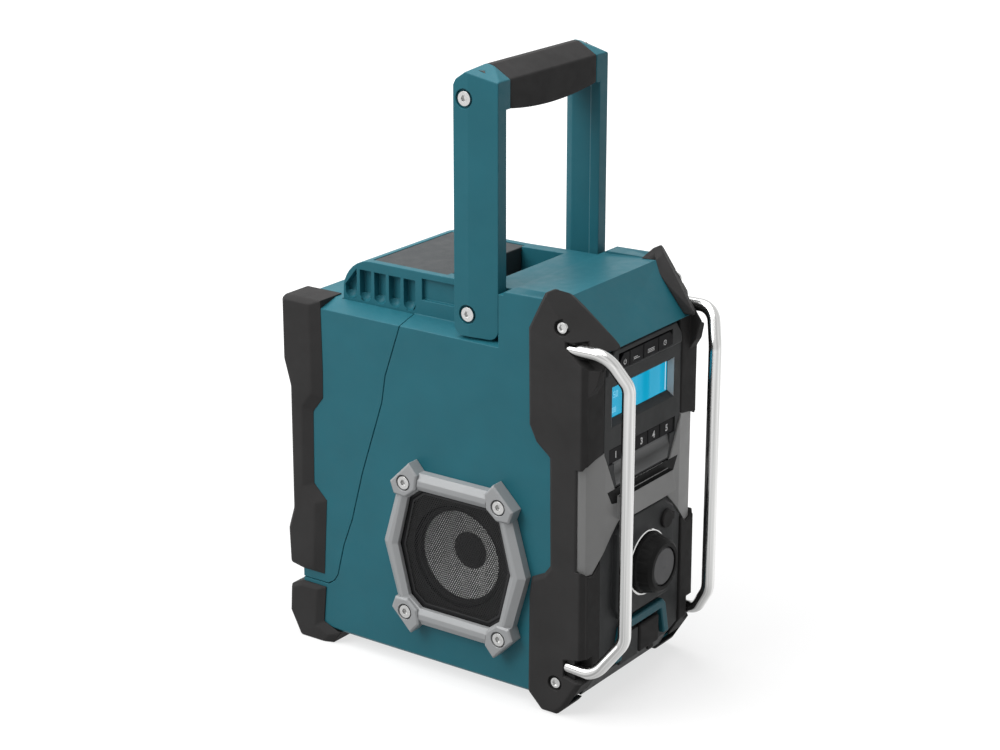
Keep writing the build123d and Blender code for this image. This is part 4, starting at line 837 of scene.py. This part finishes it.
def inside(points, outline):
    """True where a point is on the inner side of every edge of a convex outline."""
    after = np.roll(outline, -1, 0)
    edge = after - outline
    off = points[:, None] - outline[None]
    turn = edge[None, :, 0] * off[..., 1] - edge[None, :, 1] * off[..., 0]
    return np.all(turn > 0, 1)


def honeycomb(most=32):
    """Cells on a triangular lattice, up to so many from the middle. Each cell is a ring
    of six quads between the lattice hexagon, of radius pitch / sqrt 3, and its hole."""
    count = np.arange(-most, most + 1)
    c, r = np.meshgrid(count, count)
    centres = np.stack(
        [(c + 0.5 * (r % 2)) * pitch, r * pitch * math.sqrt(3) / 2], -1
    ).reshape(-1, 2)
    centres = centres[inside(centres, mouth(-3.2))]
    angle = np.pi / 6 + np.arange(6) * np.pi / 3
    spoke = np.stack([np.cos(angle), np.sin(angle)], -1)
    outer = (centres[:, None] + spoke[None] * pitch / math.sqrt(3)).reshape(-1, 2)
    inner = (centres[:, None] + spoke[None] * hole_r).reshape(-1, 2)
    shared, index = np.unique(np.round(outer, 3), axis=0, return_inverse=True)
    index = index.reshape(-1, 6)
    hole = len(shared) + np.arange(len(inner)).reshape(-1, 6)
    quads = np.stack(
        [index, np.roll(index, -1, 1), np.roll(hole, -1, 1), hole], -1
    ).reshape(-1, 4)
    return np.vstack([shared, inner]), quads.tolist(), len(centres)


def band(profile, around):
    """Closed ring over a loop of (grow, x) pairs, each the mouth at that height."""
    loops = np.stack([
        np.column_stack([np.full(around, x), mouth(grow)]) for grow, x in profile
    ])
    return loops.reshape(-1, 3), loop_faces(len(profile), around)


sheet, sheet_faces, holes = honeycomb()
corners = len(mouth(0))
rim, rim_faces = band(
    [(2.2, flange_x), (-1.6, flange_x), (-2.6, rim_x), (-4.2, rim_x), (-4.2, sheet_x - 0.2),
     (-2.2, rim_back_x), (2.2, rim_back_x)],
    corners,
)
for sign, name in ((-1, "left"), (1, "right")):
    node = "speaker_grille_" + name
    shift = np.array([0, speaker_y / MM, speaker_z / MM])
    flat = np.column_stack([np.full(len(sheet), sheet_x), sheet]) + shift
    flat[:, 0] *= sign
    mesh = bpy.data.meshes.new(node + "_punched")
    mesh.from_pydata((flat * MM).tolist(), [], sheet_faces)
    obj = settle(mesh, node + "_punched", finish["grille_mesh"], body_of[node],
                 (node,))
    thick = obj.modifiers.new("sheet", "SOLIDIFY")
    thick.thickness = sheet_thick * MM
    thick.offset = -sign
    edge = rim + shift
    edge[:, 0] *= sign
    border = piece(node + "_rim", edge, rim_faces, finish["grille_mesh"], body_of[node],
                   slot_of[node])
    roll = border.modifiers.new("rolled_edges", "BEVEL")
    roll.width, roll.segments, roll.limit_method = rim_roll * MM, 2, "ANGLE"
print("holes in each grille:", holes)

# %% [markdown]
# The display shows a station number and the time in plain segment digits. Text from a
# font would look printed; bars that light up are what the real glass does. Each digit
# is seven bars, kept or left out by a small table.

# %% Display content
segments_of = {
    "0": "abcdef", "1": "bc", "2": "abged", "3": "abgcd", "4": "fgbc", "5": "afgcd",
    "6": "afgedc", "7": "abc", "8": "abcdefg", "9": "abcdfg",
}
bars_at = {
    "a": (0.0, 1.0, 1.0, 1.0), "g": (0.0, 0.5, 1.0, 0.5), "d": (0.0, 0.0, 1.0, 0.0),
    "f": (0.0, 0.5, 0.0, 1.0), "b": (1.0, 0.5, 1.0, 1.0), "e": (0.0, 0.0, 0.0, 0.5),
    "c": (1.0, 0.0, 1.0, 0.5),
}


def segment_text(text, left, low, tall):
    """Bars of lit digits as flat boxes (x0, z0, x1, z1). Each bar joins two points of a
    1 by 1 cell and is widened by 0.07 of the height on every side."""
    wide, thin = tall * 0.5, tall * 0.07
    boxes, x = [], left
    for mark in text:
        if mark in ".:":
            heights = (0.0,) if mark == "." else (0.3, 0.7)
            boxes += [(x, low + h * tall, x + 2 * thin, low + h * tall + 2 * thin)
                      for h in heights]
            x += 4 * thin
            continue
        for bar in segments_of[mark]:
            x0, z0, x1, z1 = bars_at[bar]
            boxes.append((x + x0 * wide - thin, low + z0 * tall - thin,
                          x + x1 * wide + thin, low + z1 * tall + thin))
        x += wide + 5 * thin
    return np.array(boxes)


box_sides = [[0, 1, 2, 3], [7, 6, 5, 4], [0, 4, 5, 1], [1, 5, 6, 2], [2, 6, 7, 3],
             [3, 7, 4, 0]]
film = 0.04


def plates(boxes, y_front):
    """Boxes one film thick in the X-Z plane from rows of (x0, z0, x1, z1)."""
    x0, z0, x1, z1 = boxes.T
    corners = [(x, y, z) for y in (y_front, y_front + film) for x, z in
               ((x0, z0), (x1, z0), (x1, z1), (x0, z1))]
    points = np.stack(
        [np.stack([x, np.full(len(boxes), y), z], -1) for x, y, z in corners], 1
    )
    faces = np.arange(len(boxes))[:, None, None] * 8 + np.array(box_sides)[None]
    faces = faces.reshape(-1, 4)
    return points.reshape(-1, 3), faces.tolist()


def slab(corners, shift):
    """Thin plate between four corners and the same four moved by shift."""
    corners = np.asarray(corners, float)
    points = np.vstack([corners, corners + np.asarray(shift, float)])
    return points, box_sides


def joined(parts):
    """Several (points, faces) put into one."""
    points, faces, base = [], [], 0
    for some, corners_of in parts:
        points.append(some)
        faces += [[c + base for c in face] for face in corners_of]
        base += len(some)
    return np.vstack(points), faces


lcd_y = -105.25
digits = np.vstack([
    segment_text("98.50", -34.0, 213.6, 3.6),
    segment_text("12:08", -34.0, 203.6, 3.0),
])
# Painted highlight: a glowing line standing in for the glint on the window's right edge.
glint_box = np.array([[36.3, 201.2, 37.0, 221.3]])
for name, boxes, look in (("display_digits", digits, crystal),
                          ("display_edge_line", glint_box, painted_glint)):
    piece(name, *plates(boxes, lcd_y), look, "radio_body", "display_body")
print("display bars:", len(digits))

# %% [markdown]
# Three thin plates break up the front. The display window's two side walls get near-white plates,
# painted light for the light that falls on the right wall; the scoop below the number keys is a
# lighter grey than the panel; and a black strip of painted shadow, for the shade in the groove
# above the cross band, lies on the ledge, stands up along the face behind it and wraps round its
# ends. The strip also covers the hollow behind that face, out of sight. All are thin, so each is
# made of plates on the CAD's own faces, given by their corners in millimetres.

# %% Plates on the front: an insert, painted light and painted shadow
insert_thick = 0.05
wall_x, wall_back_x = 37.88, 37.32
scoop_x, scoop_y, scoop_z = 33.9, -111.6, 164.2
strip_x, strip_low, strip_high, strip_y = 31.0, 148.6, 154.5, -112.6
forward = (0, -insert_thick, 0)

# Painted light: near-white plates on the window's side walls.
lit_wall_plates = [
    slab([(side * wall_x, -111.5, 197.7), (side * wall_x, -111.5, 224.8),
          (side * wall_back_x, -106.8, 221.3), (side * wall_back_x, -106.8, 201.2)],
         (-side * insert_thick, 0, 0))
    for side in (-1, 1)
]
piece("window_wall_light_plates", *joined(lit_wall_plates), lit_wall_paint, "radio_body", "grey_trim")
scoop = [
    slab([(-scoop_x, -109.65, 172.1), (scoop_x, -109.65, 172.1),
          (scoop_x, scoop_y, scoop_z), (-scoop_x, scoop_y, scoop_z)], forward),
    slab([(-scoop_x, scoop_y, scoop_z), (scoop_x, scoop_y, scoop_z),
          (31.4, scoop_y, 156.0), (-31.4, scoop_y, 156.0)], forward),
]
piece("key_scoop_liner", *joined(scoop), scoop_grey, "radio_body", "dark_plastic")
# Painted shadow: black plates for the shade in the groove above the cross band.
groove_shadow_plates = [
    slab([(-30.9, -117.1, 148.5), (30.9, -117.1, 148.5),
          (30.9, -104.6, 148.5), (-30.9, -104.6, 148.5)], (0, 0, insert_thick)),
    slab([(-30.9, -104.5, strip_low), (30.9, -104.5, strip_low),
          (30.9, -104.5, 154.4), (-30.9, -104.5, 154.4)], forward),
    slab([(-strip_x, strip_y, strip_low), (strip_x, strip_y, strip_low),
          (strip_x, strip_y, strip_high), (-strip_x, strip_y, strip_high)], forward),
]
for side in (-1, 1):
    end_x = side * strip_x
    groove_shadow_plates.append(slab([(end_x, -112.5, strip_low), (end_x, -112.5, 154.4),
                       (end_x, -104.7, 154.4), (end_x, -104.7, strip_low)],
                      (-side * insert_thick, 0, 0)))
    groove_shadow_plates.append(slab([(end_x, strip_y, 143.8), (side * 38.1, strip_y, 145.2),
                       (side * 43.4, strip_y, strip_high), (end_x, strip_y, strip_high)],
                      forward))
piece("ledge_shadow_strip", *joined(groove_shadow_plates), finish["knob_rubber"], "radio_body", "knob_rubber")
print("inserts: 3")

# %% [markdown]
# The legends are pad-printed: a film of white ink a few hundredths of a millimetre
# thick. Numbers mark the station keys, and the upper keys carry plain signs, drawn as
# arcs and bars.


# %% Key printing
number_low, number_tall, bolder = 174.9, 4.6, 0.19
size_to_height = 1.38


def stamp(name, text, x, y, body):
    """Number as a thin plate of ink, centred on x. The font's size is size_to_height
    times the height of its digits."""
    curve = bpy.data.curves.new(name, "FONT")
    curve.body = text
    curve.align_x = "CENTER"
    curve.size = number_tall * size_to_height * MM
    curve.extrude = film / 2 * MM
    curve.offset = bolder * MM
    curve.resolution_u = 4
    scratch = bpy.data.objects.new(name + "_text", curve)
    bpy.context.scene.collection.objects.link(scratch)
    bpy.context.view_layer.update()
    mesh = bpy.data.meshes.new_from_object(
        scratch.evaluated_get(bpy.context.evaluated_depsgraph_get())
    )
    bpy.data.objects.remove(scratch)
    bpy.data.curves.remove(curve)
    mesh.name = name
    stand_up = Matrix.Rotation(math.pi / 2, 4, "X")
    mesh.transform(Matrix.Translation((x * MM, y * MM, number_low * MM)) @ stand_up)
    return settle(mesh, name, printing, body, ())


def arc_plate(cx, cz, radius, width, start, end, y, steps=28):
    """Band of ink along a circle from start to end degrees: four points at each
    station, two radii by two depths."""
    angle = np.radians(np.linspace(start, end, steps))
    reach = np.array([radius - width / 2, radius + width / 2, radius + width / 2,
                      radius - width / 2])
    depth = np.array([y, y, y + film, y + film])
    rings = np.stack([
        cx + reach[None] * np.cos(angle)[:, None],
        np.broadcast_to(depth, (steps, 4)),
        cz + reach[None] * np.sin(angle)[:, None],
    ], -1)
    return skin(rings)


preset_face, top_face = -110.8, -113.8
preset_edges = (-40.0, -22.4, -7.5, 7.5, 22.4, 40.0)
for number, (start, end) in enumerate(zip(preset_edges, preset_edges[1:]), 1):
    body = f"preset_key_{number}"
    stamp(f"{body}_number", str(number), (start + end) / 2, preset_face - film / 2, body)

ink_y = top_face - 0.03
signs = {
    "power_key": joined([
        arc_plate(-26.6, 239.4, 1.5, 0.55, 125, 415, ink_y),
        plates(np.array([[-26.8, 239.6, -26.4, 241.4]]), ink_y),
    ]),
    "source_key": plates(
        np.array([[-16.3, 238.2, -9.2, 238.7], [-16.3, 239.3, -11.6, 239.8]]), ink_y
    ),
    "menu_key": plates(
        np.array([[0.6, low, 8.7, low + 0.45] for low in (238.0, 239.0, 240.0)]), ink_y
    ),
    "clock_key": joined([
        arc_plate(22.0, 239.6, 1.6, 0.50, 0, 360, ink_y),
        plates(np.array([[21.85, 239.5, 22.15, 240.7], [21.9, 239.4, 22.9, 239.7]]), ink_y),
    ]),
}
for body, (points, faces) in signs.items():
    piece(body + "_sign", points, faces, printing, body, "key_plastic")
print("legends on", len(preset_edges) - 1 + len(signs), "keys")

# %% [markdown]
# The studio is a plain white floor under soft light. A floor lit to pure white would need
# so much light that the radio would wash out, so the floor adds its missing white for the
# camera and for reflections alone, less of it near the radio, and still shows the shadow.

# %% Floor
floor_tone, glow_near, glow_far = 0.32, 0.70, 1.0
near, far = 0.25, 1.3


def floor_finish():
    """Matt grey that adds a glow where the camera, or a reflection, looks at it. The glow
    rises from glow_near to glow_far between two distances from the origin, in metres."""
    made = bpy.data.materials.new("studio_floor")
    made.use_nodes = True
    nodes, links = made.node_tree.nodes, made.node_tree.links
    nodes.clear()
    out = nodes.new("ShaderNodeOutputMaterial")
    matt = nodes.new("ShaderNodeBsdfDiffuse")
    matt.inputs["Color"].default_value = (floor_tone, floor_tone, floor_tone, 1)
    glow = nodes.new("ShaderNodeEmission")
    path = nodes.new("ShaderNodeLightPath").outputs
    where = nodes.new("ShaderNodeTexCoord").outputs["Object"]
    away = nodes.new("ShaderNodeVectorMath")
    away.operation = "LENGTH"
    rise = nodes.new("ShaderNodeMapRange")
    for socket, value in (("From Min", near), ("From Max", far), ("To Min", glow_near),
                          ("To Max", glow_far)):
        rise.inputs[socket].default_value = value
    links.new(where, away.inputs[0])
    links.new(away.outputs["Value"], rise.inputs["Value"])
    seen = math_of(nodes, links, "MAXIMUM", path["Is Camera Ray"], path["Is Glossy Ray"])
    level = math_of(nodes, links, "MULTIPLY", seen, rise.outputs["Result"])
    links.new(level, glow.inputs["Strength"])
    both = nodes.new("ShaderNodeAddShader")
    links.new(matt.outputs["BSDF"], both.inputs[0])
    links.new(glow.outputs["Emission"], both.inputs[1])
    links.new(both.outputs["Shader"], out.inputs["Surface"])
    return made


mesh = bpy.data.meshes.new("floor")
mesh.from_pydata([(-9, -9, 0), (9, -9, 0), (9, 9, 0), (-9, 9, 0)], [], [[0, 1, 2, 3]])
mesh.materials.append(floor_finish())
floor = bpy.data.objects.new("floor", mesh)
bpy.context.scene.collection.objects.link(floor)
print("floor laid")

# %% [markdown]
# The world is the white cloth that hangs round a studio. It fills the shadows a little and
# shows up bright in polished steel. So one number sets the fill for matt surfaces, and the
# cloth is pure white where the camera, a mirror or the clear window looks at it. Light
# bright enough for both jobs at once would wash the colours out.


# %% World
def world_light(fill):
    """White behind the object for the camera and for reflections, fill for the rest."""
    world = bpy.data.worlds.new("studio")
    bpy.context.scene.world = world
    world.use_nodes = True
    nodes, links = world.node_tree.nodes, world.node_tree.links
    nodes.clear()
    out = nodes.new("ShaderNodeOutputWorld")
    back = nodes.new("ShaderNodeBackground")
    back.inputs["Color"].default_value = (1, 1, 1, 1)
    path = nodes.new("ShaderNodeLightPath").outputs
    seen = math_of(nodes, links, "MAXIMUM", path["Is Camera Ray"], path["Is Glossy Ray"])
    seen = math_of(nodes, links, "MAXIMUM", seen, path["Is Transmission Ray"])
    level = nodes.new("ShaderNodeMapRange")
    level.inputs["To Min"].default_value = fill
    level.inputs["To Max"].default_value = 1.0
    links.new(seen, level.inputs["Value"])
    links.new(level.outputs["Result"], back.inputs["Strength"])
    links.new(back.outputs["Background"], out.inputs["Surface"])


matt_fill = 0.24
world_light(matt_fill)
print("world fills matt surfaces with", matt_fill)

# %% [markdown]
# Two soft boxes light the radio. The big one overhead lifts the top faces and lays a soft
# shadow on the floor; the smaller one at the left sets the side apart from the front.
# Small lamps would be simpler, but they leave hard spots on rubber and steel.


# %% Lamps
def panel_light(name, place, aim, size, watts):
    """Square soft box at a place in metres, facing aim."""
    light = bpy.data.lights.new(name, "AREA")
    light.shape, light.size, light.energy = "SQUARE", size, watts
    lamp = bpy.data.objects.new(name, light)
    bpy.context.scene.collection.objects.link(lamp)
    lamp.location = place
    lamp.rotation_mode = "QUATERNION"
    lamp.rotation_quaternion = (Vector(aim) - Vector(place)).to_track_quat("-Z", "Y")
    return lamp


middle = (0, 0, 0.2)
panel_light("left_panel", (-1.9, 0.9, 1.5), middle, 1.4, 26)
panel_light("overhead_panel", (-0.3, 0.5, 2.4), middle, 3.0, 86)
print("lamps: 2")

# %% [markdown]
# The camera stands in front and to the left, about nineteen degrees above the floor, with
# a long lens that keeps the uprights almost parallel. A constraint could aim it, but its
# axes follow from those two angles, so they are worked out and stay exact.

# %% Camera
azimuth, elevation = math.radians(-54.59), math.radians(18.70)
spot = (-1.22825, -0.87007, 0.71032)
back = Vector((
    math.sin(azimuth) * math.cos(elevation),
    -math.cos(azimuth) * math.cos(elevation),
    math.sin(elevation),
))
right = Vector((math.cos(azimuth), math.sin(azimuth), 0))
up = back.cross(right)
lens = bpy.data.cameras.new("camera")
lens.sensor_width, lens.lens = 36.0, 84.3
lens.clip_start, lens.clip_end = 0.05, 40
camera = bpy.data.objects.new("camera", lens)
bpy.context.scene.collection.objects.link(camera)
camera.matrix_world = Matrix((*zip(right, up, back, spot), (0, 0, 0, 1)))
bpy.context.scene.camera = camera
bpy.context.scene.view_settings.view_transform = "Standard"
print("camera at", [round(v, 3) for v in camera.location])
